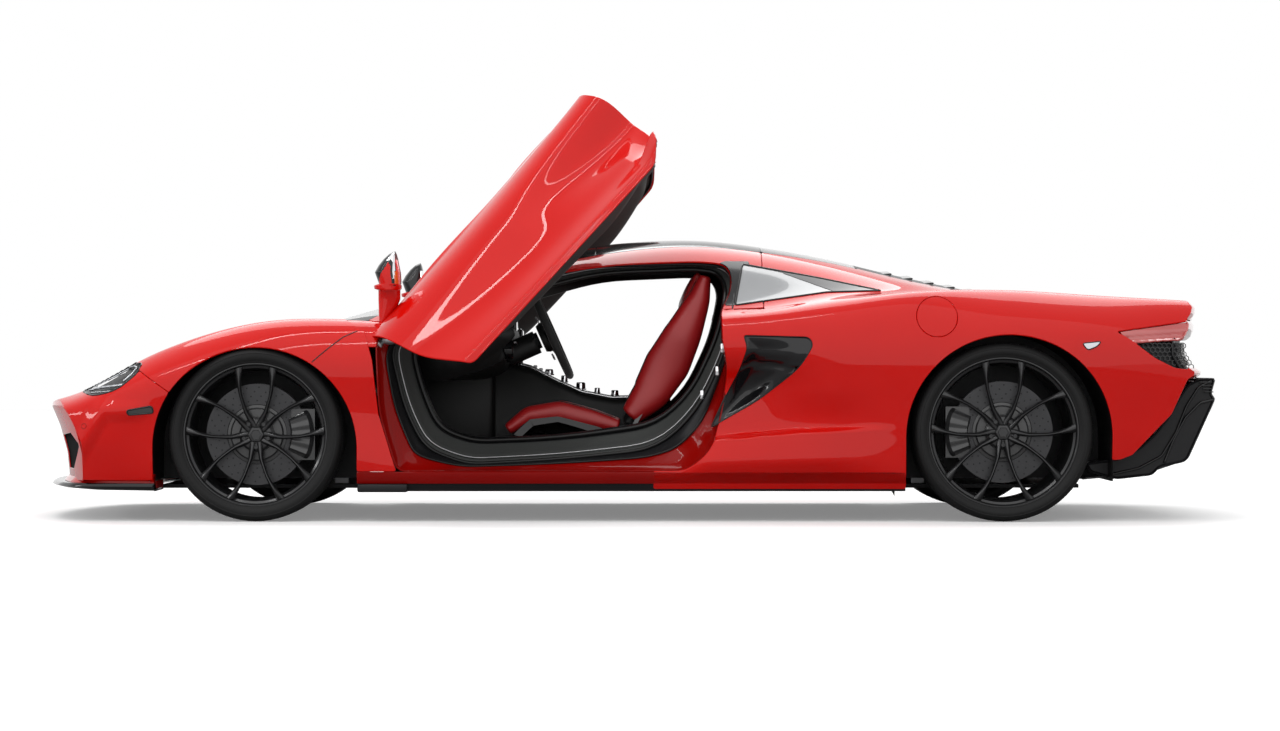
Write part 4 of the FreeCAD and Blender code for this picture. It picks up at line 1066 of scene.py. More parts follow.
def doorCreases(points):
    # pressed lines along the door: a shoulder under the belt, a roof edge and a fold by the sill
    shaped = points.copy()
    x, y, z = points[..., 0], points[..., 1], points[..., 2]
    belt = lineHeight(x, [(-0.95, 0.705), (-0.60, 0.735), (0.0, 0.765), (0.36, 0.790)])
    ridge = 0.008 * bump(z, belt, 0.014) * ramp(x, -0.93, -0.6) - 0.018 * ramp(z, belt - 0.002,
            belt + 0.012) * (1 - ramp(z, belt + 0.11, belt + 0.17)) * ramp(x, -0.88, -0.5)
    valley = -0.016 * bump(z, belt + 0.075, 0.046) * ramp(x, -0.80, -0.2)
    roofLine = lineHeight(x, [(-0.84, 0.785), (-0.45, 0.885), (-0.169, 0.935), (0.30, 0.950)])
    brow = 0.008 * bump(z, roofLine, 0.010) * ramp(x, -0.75, -0.4)
    lip = -0.014 * (1 - ramp(z, 0.190, 0.224))
    out = ridge + valley + brow + lip
    shaped[..., 1] = y - out * 0.85
    shaped[..., 2] = z + out * 0.5 * ramp(z, 0.66, 0.80)
    return shaped


def hang(obj):
    obj.data.transform(doorTurn)
    return obj


def doorPair(obj, replaces=False):
    # hangs a left-hand piece on its open door and gives the other door its mirror image
    obj = hang(obj)
    twin = mirrorObject(obj)
    for side, piece in (("left", obj), ("right", twin)):
        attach(piece, f"door_{side}")
        if replaces:
            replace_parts(piece, f"door_{side}")


def insetLoop(loop, distance):
    # moves each point of a closed (x, z) loop inwards
    loop = np.asarray(loop)
    along = np.roll(loop, -1, 0) - np.roll(loop, 1, 0)
    along /= np.linalg.norm(along, axis=1, keepdims=True)
    normal = np.stack([-along[:, 1], along[:, 0]], -1)
    area = 0.5 * np.sum(loop[:, 0] * np.roll(loop[:, 1], -1) - np.roll(loop[:, 0], -1) * loop[:, 1])
    return loop + normal * distance * np.sign(area)


def makeDoors():
    points = doorCreases(dressGrid(patch(frontAxle + 0.40, frontAxle + 1.82, 1, 0, 160)))
    flat = patch(frontAxle + 0.40, frontAxle + 1.82, 1, 0, 160)
    field = without(doorway)(flat[..., 0], flat[..., 1], flat[..., 2])
    verts, faces = clipGrid(points, field)
    doorPair(thicken("doorSkinLeft", verts, faces, doorShape["skin"], finish["paint"], 0.002),
             replaces=True)
    # the inner panel: deep below the belt, slim round the window, set in from the skin's edge
    inner = field + doorShape["linerInset"]
    verts, faces = clipGrid(points[::2, ::2], inner[::2, ::2])
    normals = vertexNormals(verts, faces)
    verts = verts - normals * (doorShape["skin"] + 0.002)
    edge = -outlineDistance(verts[:, 0], verts[:, 2],
                            roundedOutline(doorLoop, 0.01)) - doorShape["linerInset"]
    low = (1 - ramp(verts[:, 2], doorShape["belt"] - 0.10, doorShape["belt"] + 0.02)) * ramp(verts[:, 0],
            -0.95, -0.55) * (1 - ramp(verts[:, 0], -0.10, 0.36))
    rise = ramp(edge, 0.035, 0.085)
    lowerDepth = low * (doorShape["linerDepth"] - doorShape["frameDepth"])
    depth = doorShape["edgeDepth"] + rise * (doorShape["frameDepth"] - doorShape["edgeDepth"] + lowerDepth)
    liner = thicken("doorLinerLeft", verts, faces, depth[:, None], finish["charcoal"], 0.004)
    doorPair(creaseByAngle(liner, 50))
    # the seal that runs round the inner panel
    loop = insetLoop(evenLoop(roundedOutline(doorLoop, 0.03), 150), 0.022)
    path = [(x, sideY(x, z) + 0.022, z) for x, z in loop]
    doorPair(tubeAlong("doorSealLeft", path, roundProfile(doorShape["sealRadius"], 8), finish["rubber"],
                       closed=True))
    # pull handle, arm rest and loudspeaker on the inner face
    rest = [(-0.50, 0.455), (-0.30, 0.475), (-0.05, 0.500), (0.12, 0.530)]
    path = [(x, sideY(x, z) + 0.125, z) for x, z in evenLoop(rest, 24, closed=False)]
    doorPair(tubeAlong("doorArmRestLeft", path, roundProfile(0.030, 12, 0.75), finish["leatherRed"]))
    path = [(-0.44, sideY(-0.44, 0.56) + 0.118, 0.535), (-0.42, sideY(-0.42, 0.58) + 0.140, 0.580),
            (-0.30, sideY(-0.3, 0.6) + 0.142, 0.615), (-0.22, sideY(-0.22, 0.6) + 0.118, 0.600)]
    doorPair(tubeAlong("doorPullLeft", evenLoop(path, 20, closed=False), roundProfile(0.010, 10),
                       finish["metal"]))
    speakerX, speakerZ = -0.66, 0.40
    face = sideY(speakerX, speakerZ)
    rings = [[(speakerX + radius * math.cos(a), face + out, speakerZ + radius * math.sin(a))
              for a in turnAngles(40)]
             for out, radius in ((0.100, 0.075), (0.112, 0.075), (0.114, 0.068), (0.108, 0.060))]
    doorPair(loft("doorSpeakerLeft", rings, finish["blackSatin"]))
    # the hinge arm from the body to the door
    path = [doorPivot + Vector((0.01, 0.02, -0.015)), Vector((-0.93, -0.845, 0.66)),
            Vector((-0.90, -0.838, 0.62)), Vector((-0.85, -0.835, 0.56))]
    arm = tubeAlong("doorHingeArmLeft", evenLoop([tuple(p) for p in path], 16, closed=False),
                    roundProfile(0.014, 10, 1.3), finish["metal"])
    doorPair(arm)


mirror = {
    "y": -0.760, "depth": 0.070,
    # the open door's mirror from the side: level, front edge, rear edge
    "levels": [(0.878, -0.946, -0.868), (0.897, -0.953, -0.866), (0.930, -0.965, -0.868),
               (0.955, -0.951, -0.873), (0.980, -0.931, -0.878),
               (0.998, -0.911, -0.883), (1.009, -0.891, -0.888)],
    "stalk": [(0.736, -0.946, -0.943), (0.747, -0.949, -0.922), (0.775, -0.951, -0.900),
              (0.800, -0.951, -0.882), (0.828, -0.952, -0.870), (0.852, -0.952, -0.870),
              (0.866, -0.952, -0.870)],
    "panel": [(-0.949, 0.886), (-0.941, 0.918), (-0.911, 0.966), (-0.903, 0.950), (-0.899, 0.900),
              (-0.894, 0.880)],
    "edge": [(-0.891, 1.004), (-0.908, 0.990), (-0.920, 0.972), (-0.915, 0.970), (-0.902, 0.979),
             (-0.8945, 0.965), (-0.8935, 0.905), (-0.8875, 0.905), (-0.885, 0.975)],
    "lamp": [(-0.888, 0.932), (-0.876, 0.932), (-0.873, 0.884), (-0.888, 0.884)],
}


def makeMirrors():
    # drawn on the open door: a broad stalk, a collar and a pointed housing with its trim, lamp and glass
    def stack(levels, depth, count, squareness=2.6):
        z, front, rear = np.array(levels).T
        loops = []
        for h in np.linspace(z[0], z[-1], count):
            x0, x1 = np.interp(h, z, front), np.interp(h, z, rear)
            wide = (x1 - x0) / 2 + 0.0004
            loops.append([((x0 + x1) / 2 + wide * abs(math.cos(a)) ** (2 / squareness)
                           * np.sign(math.cos(a)),
                           mirror["y"] + depth(h) * abs(math.sin(a)) ** (2 / squareness)
                           * np.sign(math.sin(a)), h)
                          for a in np.linspace(0, 2 * math.pi, 72, endpoint=False)])
        return bridge(np.array(loops), capEnds=True)

    top, bottom = mirror["levels"][-1][0], mirror["levels"][0][0]
    housing = newObject("mirrorHousingLeft", *stack(mirror["levels"],
            lambda h: 0.004 + mirror["depth"] * math.sqrt(max(0,
            1 - ((h - bottom) / (top - bottom)) ** 2.4)), 64), finish["blackGloss"])
    housing = tidyNormals(housing)
    zones = [("edge", "chrome"), ("panel", "paint"), ("lamp", "amber")]
    for _, name in zones + [("", "mirror")]:
        housing.data.materials.append(finish[name])
    for face in housing.data.polygons:
        x, y, z = face.center
        if face.normal.x > 0.75 and z < 0.975:
            face.material_index = 4
        for k, (zone, _) in enumerate(zones):
            if y < mirror["y"] - 0.002 and outlineDistance(np.array([x]), np.array([z]),
                    mirror[zone])[0] < 0:
                face.material_index = k + 1
    stalk = tidyNormals(newObject("mirrorStalkLeft",
                                  *stack(mirror["stalk"], lambda h: 0.022 + 0.006 * (h - 0.736) / 0.13, 26),
                                  finish["paint"]))
    collar = tidyNormals(newObject("mirrorCollarLeft",
            *stack([(0.862, -0.950, -0.872), (0.867, -0.966, -0.866), (0.880, -0.969, -0.865),
                    (0.886, -0.952, -0.868)], lambda h: mirror["depth"] + 0.006, 10), finish["paint"]))
    for piece, node in ((stalk, None), (housing, "mirror"), (collar, None)):
        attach(piece, "door_left")
        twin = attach(mirrorObject(piece, piece.name.replace("Left", "Right")), "door_right")
        if node:
            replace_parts(piece, "mirror_left")
            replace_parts(twin, "mirror_right")


cabin = {
    "outerSeal": [(-0.157, 0.960, 0.10), (0.250, 0.968, 0.08), (0.374, 0.954, 0.05), (0.398, 0.863, 0.08),
                  (0.352, 0.638, 0.10), (0.245, 0.413, 0.12),
                  (0.095, 0.268, 0.10), (-0.270, 0.228, 0.2), (-0.620, 0.210, 0.06), (-0.775, 0.270, 0.06),
                  (-0.850, 0.413, 0.10), (-0.905, 0.640, 0.05), (-0.800, 0.775, 0.05),
                  (-0.420, 0.895, 0.2)],
    "innerSeal": [(-0.121, 0.930, 0.10), (0.237, 0.946, 0.08), (0.322, 0.934, 0.05), (0.352, 0.874, 0.06),
                  (0.322, 0.706, 0.10), (0.217, 0.486, 0.12),
                  (0.085, 0.370, 0.10), (-0.272, 0.318, 0.2), (-0.600, 0.307, 0.06), (-0.724, 0.356, 0.06),
                  (-0.780, 0.488, 0.10), (-0.820, 0.640, 0.05), (-0.700, 0.770, 0.05),
                  (-0.380, 0.862, 0.2)],
    "profile": [(-0.965, 0.640), (-0.955, 0.230, 0.04), (-0.900, 0.145, 0.05), (0.270, 0.145, 0.06),
                (0.400, 0.420, 0.10), (0.470, 0.900, 0.04),
                (0.440, 0.985, 0.05), (0.0, 1.015, 0.2), (-0.170, 0.990, 0.1), (-0.850, 0.770, 0.1)],
    "wallY": 0.690, "sealY": 0.775, "floorThickness": 0.014,
}


def makeJamb():
    # the doorway: painted return in the darker red that paints the shade inside the doorway, stepped black
    # trim and two seals, lofted between closed loops
    count = 220
    outer = evenLoop(roundedOutline(doorLoop, 0.03), count)
    seal = evenLoop(roundedOutline(cabin["outerSeal"], 0.05), count)
    inner = evenLoop(roundedOutline(cabin["innerSeal"], 0.05), count)

    def matched(loop, start):
        # the same starting place, so that the loft doesn't twist
        first = int(np.argmin(np.hypot(*(loop - start).T)))
        return np.roll(loop, -first, 0)
    start = np.array([-0.30, 0.20])
    outer, seal, inner = matched(outer, start), matched(seal, np.array([-0.30, 0.228])), matched(inner,
            np.array([-0.30, 0.316]))
    if np.sign(np.sum(np.cross(outer, np.roll(outer, -1, 0)))) != np.sign(np.sum(np.cross(seal,
            np.roll(seal, -1, 0)))):
        seal, inner = seal[::-1], inner[::-1]

    def lift(loop, y):
        return np.array([(x, y(x, z) if callable(y) else y, z) for x, z in loop])
    high = lambda x, z: float(ramp(z, 0.78, 0.96))
    skinY = lambda deep: (lambda x, z: sideY(x, z) + deep)
    sealPlane = lambda deep: (lambda x, z: max(-cabin["sealY"] + deep + 0.23 * high(x, z),
            sideY(x, z) + 0.02 + deep))
    innerPlane = lambda deep: (lambda x, z: max(-cabin["wallY"] + deep + 0.19 * high(x, z),
            sideY(x, z) + 0.035 + deep))
    between = lambda share: outer + (seal - outer) * share
    bands = [
        ("jambReturn", "paintedShadeRed", [lift(outer, skinY(0.007)),
            lift(insetLoop(outer, 0.004), skinY(0.030)), lift(between(0.35), skinY(0.045)),
            lift(between(0.62), skinY(0.060))]),
        ("jambTrim", "blackSatin", [lift(between(0.60), skinY(0.060)),
            lift(between(0.80), sealPlane(-0.020)), lift(between(0.96), sealPlane(-0.004)),
            lift(seal, sealPlane(0.012))]),
        ("jambStep", "charcoal", [lift(seal + (inner - seal) * 0.04, sealPlane(0.010)),
                                  lift(seal + (inner - seal) * 0.30, sealPlane(0.022)),
                                  lift(seal + (inner - seal) * 0.36, sealPlane(0.040)),
                                  lift(inner + (seal - inner) * 0.25, innerPlane(-0.008))]),
        ("jambLining", "blackSatin", [lift(inner + (seal - inner) * 0.25, innerPlane(-0.010)),
            lift(inner + (seal - inner) * 0.10, innerPlane(0.0)), lift(inner, innerPlane(0.018)),
            lift(inner, innerPlane(0.045))]),
    ]
    pieces = []
    for name, material, loops in bands:
        pieces.append(thicken(name, *bridge(loops), 0.005, finish[material], 0.0006))
    for name, loop, plane, radius, material in (
            ("doorwaySealOuter", seal, sealPlane(-0.004), 0.0075, "rubber"),
            ("doorwaySealInner", inner + (seal - inner) * 0.12, innerPlane(-0.012), 0.0085, "rubber"),
            ("doorwayBead", between(0.66), skinY(0.056), 0.0035, "rubber"),
            ("doorwayBrightLine", seal + (inner - seal) * 0.22, sealPlane(0.010), 0.0022, "metal")):
        path = lift(loop, plane)
        pieces.append(tubeAlong(name, path, roundProfile(radius, 8), finish[material], closed=True))
    for k, (x, z) in enumerate(((0.336, 0.645), (0.318, 0.560), (0.262, 0.470))):
        pieces.append(roundedBlock(f"doorwayStriker{k}", (x, sideY(x, z) + 0.046, z), (0.012, 0.012, 0.034),
                0.003, finish["chrome"], 2))
    return pieces


def makeDoorways():
    for piece in makeJamb():
        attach(piece, "body")
        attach(mirrorObject(piece, piece.name + "Right"), "body")


def makeCabinShell():
    profile = roundedOutline(cabin["profile"], 0.05)
    inner = roundedOutline(cabin["innerSeal"], 0.05)
    xs, zs = np.linspace(-1.0, 0.52, 190), np.linspace(0.12, 1.03, 115)
    x, z = np.meshgrid(xs, zs, indexing="ij")
    lean = lambda z: -cabin["wallY"] + 0.04 + 0.19 * ramp(z, 0.78, 0.96)
    points = np.stack([x, lean(z), z], -1)
    field = np.maximum(outlineDistance(x, z, profile), -outlineDistance(x, z, inner) + 0.002)
    verts, faces = clipGrid(points, field)
    wall = thicken("cabinSideWall", verts, faces, 0.006, finish["leatherBlack"], 0.0008)
    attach(wall, "body")
    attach(mirrorObject(wall, "cabinSideWallRight"), "body")
    # floor and bulkheads in one folded sheet across the car
    run = evenLoop([(-0.962, 0.660), (-0.955, 0.230), (-0.935, 0.175), (-0.900, 0.148), (0.250, 0.148),
                    (0.300, 0.180), (0.400, 0.420), (0.472, 0.930)], 90, closed=False)
    ys = np.linspace(-0.655, 0.655, 40)
    points = np.array([[(px, y * (1 - 0.24 * float(ramp(pz, 0.70, 0.93))), pz) for y in ys] for px,
                       pz in run])
    floor = thicken("cabinFloor", *bridge(points, closed=False), cabin["floorThickness"], finish["suede"],
                    0.001)
    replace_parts(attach(floor, "body"), "tub")
    # roof lining
    points = patch(screenTop - 0.01, roofRear + 0.04, 3, 158)[:, ::2].copy()
    points[..., 2] -= 0.022
    verts, faces = clipGrid(points, np.full(points.shape[:2], -1.0))
    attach(mirrorObject(thicken("roofLining", verts, faces, 0.006, finish["suede"], 0.0005), join=True),
            "body")
    print("cabin shell made")


makeDoors()
makeMirrors()
makeDoorways()
makeCabinShell()
print("doors and doorways made")


def latheY(name, profile, material, steps=96, closed=True):
    # a ring about the y axis from (radius, y) points; closed joins the last point to the first
    loops = [[(radius * math.cos(a), y, radius * math.sin(a)) for a in turnAngles(steps)] for radius,
             y in profile]
    if closed:
        loops.append(loops[0])
    verts, faces = bridge(np.array(loops), capEnds=not closed)
    return creaseByAngle(tidyNormals(newObject(name, verts, faces, material)), 30)


def moveTo(obj, place):
    obj.data.transform(Matrix.Translation(place))
    return obj


wheels = {
    "front": {"x": car["frontAxle"], "y": -0.805, "z": 0.323, "tyreRadius": 0.3228,
              "tyre": (-0.9225, -0.6885), "rimRadius": 0.268, "rim": (-0.908, -0.702),
              "disc": (-0.838, -0.801), "caliperTurn": 0.0},
    "rear": {"x": car["rearAxle"], "y": -0.7925, "z": 0.332, "tyreRadius": 0.3318,
             "tyre": (-0.9445, -0.6405), "rimRadius": 0.280, "rim": (-0.930, -0.655),
             "disc": (-0.860, -0.824), "caliperTurn": math.pi},
}
spokeCount = 5


def makeTyre(size):
    out, inside, radius, rim = size["tyre"][0] - size["y"], size["tyre"][1] - size["y"], size[
            "tyreRadius"], size["rimRadius"]
    side = [(rim - 0.006, 0.020), (rim + 0.001, 0.010), (rim + 0.006, 0.0085), (rim + 0.010, 0.0045),
            (rim + 0.016, 0.0015), (rim + 0.024, 0.0), (radius - 0.022, 0.0015),
            (radius - 0.020, 0.0005), (radius - 0.018, 0.0015), (radius - 0.011, 0.0055),
            (radius - 0.006, 0.012), (radius - 0.003, 0.020), (radius - 0.0012, 0.028)]
    half = (inside - out) / 2
    tread = [(radius - 0.0004, half * 0.34), (radius - 0.0004, half * 0.42), (radius - 0.007, half * 0.43),
             (radius - 0.007, half * 0.50), (radius, half * 0.51),
             (radius, half * 0.80), (radius - 0.007, half * 0.81), (radius - 0.007, half * 0.89),
             (radius, half * 0.90), (radius, half)]
    profile = [(r, out + d) for r, d in side + tread]
    profile += [(r, inside - d) for r, d in reversed(side + tread[:-1])]
    profile += [(rim - 0.012, inside - 0.028), (rim - 0.012, out + 0.028)]
    return latheY("tyre", profile, finish["tyre"], 128)


def makeTreadBlocks(size):
    # the cross grooves of the tread: slim dark bars sunk in the shoulders, copied round the wheel
    out, inside, radius = size["tyre"][0] - size["y"], size["tyre"][1] - size["y"], size["tyreRadius"]
    blocks = []
    for start, end in ((out + 0.016, out + 0.040), (inside - 0.040, inside - 0.016)):
        loops = []
        for y in np.linspace(start, end, 5):
            drop = 0.0105 * (1 - ramp(abs(y - (out if start < 0 else inside)), 0.008, 0.030))
            lean = 0.10 * (y - start)
            corners = ((-0.0022, 0.0003), (0.0022, 0.0003), (0.0022, -0.004), (-0.0022, -0.004))
            section = [(a + lean, radius - drop + rise) for a, rise in corners]
            loops.append([(r * math.sin(a), y, -r * math.cos(a)) for a, r in section])
        blocks.append(newObject("bar", *bridge(loops, capEnds=True), None, smooth=False))
    bars = tidyNormals(joinObjects("treadGrooves", blocks))
    return repeatPiece(bars, 72, finish["rubber"], turn=(0, 2 * math.pi / 72, 0))


def makeRim(size):
    out, inside, radius = size["rim"][0] - size["y"], size["rim"][1] - size["y"], size["rimRadius"]
    profile = [(radius, out + 0.014), (radius + 0.0005, out + 0.004), (radius - 0.002, out),
               (radius - 0.006, out), (radius - 0.009, out + 0.003), (radius - 0.012, out + 0.014),
               (radius - 0.020, out + 0.020), (radius - 0.026, out + 0.035), (radius - 0.030, out + 0.060),
               (radius - 0.031, inside - 0.02), (radius - 0.016, inside - 0.006), (radius - 0.004, inside),
               (radius, inside), (radius, inside - 0.008), (radius - 0.014, inside - 0.014),
               (radius - 0.024, inside - 0.03), (radius - 0.022, out + 0.05), (radius - 0.012, out + 0.030)]
    return latheY("rimBarrel", profile, finish["wheel"], 128)


def makeSpokes(size):
    # one pair of slender spokes that part on the way out, swept with a ridged section and then copied
    out, radius = size["rim"][0] - size["y"], size["rimRadius"]
    pieces = []
    ridge = [(-0.5, -0.15), (-0.34, 0.12), (-0.10, 0.30), (0.10, 0.30), (0.34, 0.12), (0.5, -0.15),
             (0.40, -0.75), (0, -1.0), (-0.40, -0.75)]
    for hand in (-1, 1):
        loops = []
        for t in np.linspace(0, 1, 20):
            r = 0.030 + (radius - 0.012 - 0.030) * t
            spread = math.radians(float(np.interp(t, [0, 0.10, 0.25, 0.58, 0.85, 1],
                    [13, 20, 23.5, 20.4, 16.4, 14.2])))
            a = math.radians(90) + hand * spread
            dish = 0.030 * (1 - t) ** 1.6 + 0.004 + 0.006 * t ** 8
            width = 0.0165 - 0.004 * math.sin(math.pi * min(1,
                    t * 1.1)) + 0.016 * t ** 7 + 0.012 * (1 - t) ** 4
            height = 0.024 - 0.004 * t
            across = np.array([-math.sin(a), 0, math.cos(a)])
            centre = np.array([r * math.cos(a), out + dish, r * math.sin(a)])
            loops.append([centre + across * u * width + np.array([0, -v * height, 0]) for u, v in ridge])
        pieces.append(loft("spoke", loops, None, 26))
    pair = joinObjects("spokes", pieces)
    return repeatPiece(pair, spokeCount, finish["wheel"], turn=(0, 2 * math.pi / spokeCount, 0))


def makeHub(size):
    out = size["rim"][0] - size["y"]
    hub = latheY("hubFlange", [(0.001, out + 0.070), (0.060, out + 0.070), (0.066, out + 0.062),
                               (0.064, out + 0.040), (0.056, out + 0.033), (0.040, out + 0.031),
                               (0.034, out + 0.034), (0.001, out + 0.034)], finish["wheel"], 64,
                 closed=False)
    cap = latheY("hubCap", [(0.031, out + 0.036), (0.031, out + 0.026), (0.028, out + 0.023),
                            (0.020, out + 0.022), (0.018, out + 0.024), (0.001, out + 0.024)],
                 finish["wheel"], 6, closed=False)
    rotor = latheY("hubCarrier", [(0.001, 0.03), (0.062, 0.03), (0.062, out + 0.068), (0.001, out + 0.068)],
                   finish["caliper"], 48, closed=False)
    bolt = latheY("wheelBolts", [(0.0085, out + 0.040), (0.0085, out + 0.029), (0.0070, out + 0.027),
                                 (0.0040, out + 0.027), (0.0038, out + 0.031), (0.001, out + 0.031)], None,
                  12, closed=False)
    bolt.data.transform(Matrix.Rotation(2 * math.pi / 10, 4, "Y") @ Matrix.Translation((0, 0, 0.047)))
    return [hub, cap, rotor, repeatPiece(bolt, spokeCount, finish["wheel"],
            turn=(0, 2 * math.pi / spokeCount, 0))]


def makeDisc(size):
    a, b = size["disc"][0] - size["y"], size["disc"][1] - size["y"]
    middle = (a + b) / 2
    disc = latheY("brakeDisc", [(0.190, a + 0.001), (0.189, a), (0.112, a), (0.110, a + 0.002),
                                (0.110, middle - 0.004), (0.182, middle - 0.004), (0.182, middle + 0.004),
                                (0.110, middle + 0.004),
                                (0.110, b - 0.002), (0.112, b), (0.189, b), (0.190, b - 0.001),
                                (0.190, middle + 0.003), (0.186, middle + 0.003), (0.186, middle - 0.003),
                                (0.190, middle - 0.003)], finish["disc"], 96)
    hat = latheY("discHat", [(0.001, a - 0.004), (0.094, a - 0.004), (0.100, a + 0.001), (0.112, a + 0.003),
                             (0.112, a + 0.010), (0.096, a + 0.010), (0.001, a + 0.010)], finish["caliper"],
                 64, closed=False)
    # the holes are not drilled: small black plugs on the disc face paint the shade of each hole
    holes = []
    for k, radius in enumerate((0.126, 0.143, 0.160, 0.176)):
        hole = latheY("hole", [(0.0032, a + 0.002), (0.0032, a - 0.0004), (0.0005, a - 0.0004)], None, 8,
                      closed=False)
        hole.data.transform(Matrix.Rotation(k * 0.10, 4, "Y") @ Matrix.Translation((0, 0, radius)))
        holes.append(hole)
    holeShadeDots = repeatPiece(joinObjects("discHoleShadeDots", holes), 24, finish["blackSatin"],
                          turn=(0, 2 * math.pi / 24, 0))
    return [disc, hat, holeShadeDots]


def makeCaliper(size):
    # a fixed caliper over the disc's edge, with a bridge and a rib pattern on its outer face
    a, b = size["disc"][0] - size["y"], size["disc"][1] - size["y"]
    loops = []
    for angle in np.linspace(-0.46, 0.46, 22):
        end = 1 - (abs(angle) / 0.46) ** 6 * 0.25
        rib = 0.002 * math.cos(angle * 34)
        low, high = 0.128 + 0.012 * (1 - end), 0.190 + 0.024 * end
        y0, y1 = a - 0.030 * end - rib, b + 0.030 * end
        section = [(low, y0 + 0.006), (low + 0.006, y0), (high - 0.014, y0), (high, y0 + 0.014),
                   (high, y1 - 0.010), (high - 0.010, y1), (low + 0.006, y1), (low, y1 - 0.006),
                   (low, b + 0.003), (0.193, b + 0.003), (0.193, a - 0.003), (low, a - 0.003)]
        turned = angle + size["caliperTurn"]
        loops.append([(r * math.cos(turned), y, r * math.sin(turned)) for r, y in section])
    return loft("brakeCaliper", loops, finish["caliper"], 30)


def makeWheels():
    for end, size in wheels.items():
        centre = (size["x"], size["y"], size["z"])
        tyre, treads, rim, spokes = makeTyre(size), makeTreadBlocks(size), makeRim(size), makeSpokes(size)
        hub, disc = makeHub(size), makeDisc(size)
        caliper = makeCaliper(size)
        turning = [tyre, treads, rim, spokes] + hub + disc
        for piece in turning + [caliper]:
            moveTo(piece, centre)
            piece.name = f"{piece.name.split('.')[0]}_{end}_left"
            twin = mirrorObject(piece, piece.name.replace("left", "right"))
            for side, part in (("left", piece), ("right", twin)):
                if piece is caliper:
                    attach(part, f"knuckle_{side}" if end == "front" else "body")
                    continue
                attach(part, f"wheel_{end}_{side}")
                for drawn, node in ((tyre, "tyre"), (rim, "rim"), (disc[0], "brake_disc")):
                    if piece is drawn:
                        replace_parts(part, f"{node}_{end}_{side}")
    print("wheels made")


def makeArchLiners():
    # a dark shell inside each wheel arch, with a wall on its inner side
    inner = -0.50
    for end, clearance in (("front", 0.018), ("rear", 0.007)):
        arch = archShapes[end]
        middle, height = wheels[end]["x"] + arch["shift"], wheels[end]["z"] - arch["drop"]
        wide = arch["radius"] + clearance
        arc = [(middle + wide * math.cos(a), height + wide * math.sin(a))
               for a in np.linspace(math.pi, 0, 48)]
        run = [(middle - wide, 0.150)] + arc + [(middle + wide, 0.150)]
        outer = [(x, sideY(x, z) + 0.012, z) for x, z in run]
        loops = np.array([outer, [(x, inner, z) for x, z in run]])
        shell = thicken("archShell", *bridge(loops, closed=False), 0.003, finish["blackSatin"], 0.0004)
        rim = [(middle + wide * math.cos(a), inner, height + wide * math.sin(a))
               for a in np.linspace(math.pi, 0, 32)]
        rim = [(middle - wide, inner, 0.15)] + rim + [(middle + wide, inner, 0.15)]
        back = [(x, y + 0.003, z) for x, y, z in rim]
        wall = loft("archWall", [rim, back], finish["blackSatin"], smooth=False)
        for piece in (shell, wall):
            piece.name = f"{piece.name.split('.')[0]}_{end}_left"
            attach(piece, "body")
            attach(mirrorObject(piece, piece.name.replace("left", "right")), "body")


makeWheels()
makeArchLiners()


def bodyPiece(name, x0, x1, field, material, inward=0.0, thickness=0.005, low=0, high=None, shape=None):
    # a left-hand piece cut from the body's surface and set in from it, by one depth or by a shape
    points = dressGrid(patch(x0, x1, 1, low, high))
    verts, faces = clipGrid(points, field(points[..., 0], points[..., 1], points[..., 2]))
    if shape is not None:
        inward = shape(verts)[:, None]
    if np.any(inward):
        verts = verts - vertexNormals(verts, faces) * inward
    return thicken(name, verts, faces, thickness, material)


def ridePair(piece, body="body", replaces=None):
    # the left-hand piece and its mirror image on the same body
    twin = mirrorObject(piece, piece.name + "Right")
    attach(piece, body)
    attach(twin, body)
    if replaces:
        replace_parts(piece, replaces)


def sideTube(name, points, radius, material, out=0.0, closed=True):
    # a bead that lies on the side of the body along (x, z) points
    path = [(x, sideY(x, z) - out, z) for x, z in points]
    return tubeAlong(name, path, roundProfile(radius), material, closed=closed)


def makeSills():
    zone = allOf(behind(frontAxle + 0.30), ahead(rearAxle - 0.30), below(0.186))
    holes = (wheelArch("front"), wheelArch("rear"))
    # the red sill panels take the darker red: painted shade on the low, downward-facing sill
    red = bodyPiece("sillPanels", -1.15, 1.10, without(allOf(zone, above(0.140)), *holes),
                    finish["paintedShadeRed"], high=70)
    ridePair(red, replaces="sills")
    plate = bodyPiece("sillPlates", -1.15, 1.10, without(allOf(zone, below(0.140)), *holes),
                      finish["blackSatin"], inward=0.004, high=40)
    ridePair(plate)
    block = roundedBlock("sillFoot", (-0.925, -0.905, 0.125), (0.185, 0.06, 0.030), 0.006,
                         finish["blackSatin"])
    ridePair(block)


def makeSideIntakes():
    # the blade in front of the rear wheel: a bevelled upper facet, a lower scoop and a slot between them
    top = rearAxle - 0.721

    def depth(verts):
        x, z = verts[:, 0], verts[:, 2]
        edge = -outlineDistance(x, z, outline("intake"))
        facet = 0.020 * ramp(z, 0.585, 0.62) * (1 - ramp(z, 0.62, 0.69))
        slot = 0.020 * bump(z, 0.560 - 0.05 * (x - top), 0.005)
        return 0.008 + 0.030 * ramp(edge, 0.0, 0.05) * (1 - ramp(x, 0.42, 0.68)) + slot - facet * 0.3
    blade = bodyPiece("intakeBlades", 0.28, 0.72, without(intake), finish["blackGloss"], shape=depth,
                      thickness=0.004)
    ridePair(blade, replaces="intake_blades")
    bead = sideTube("intakeBead", evenLoop(outline("intake"), 120), 0.0035, finish["rubber"], out=-0.005)
    ridePair(bead)


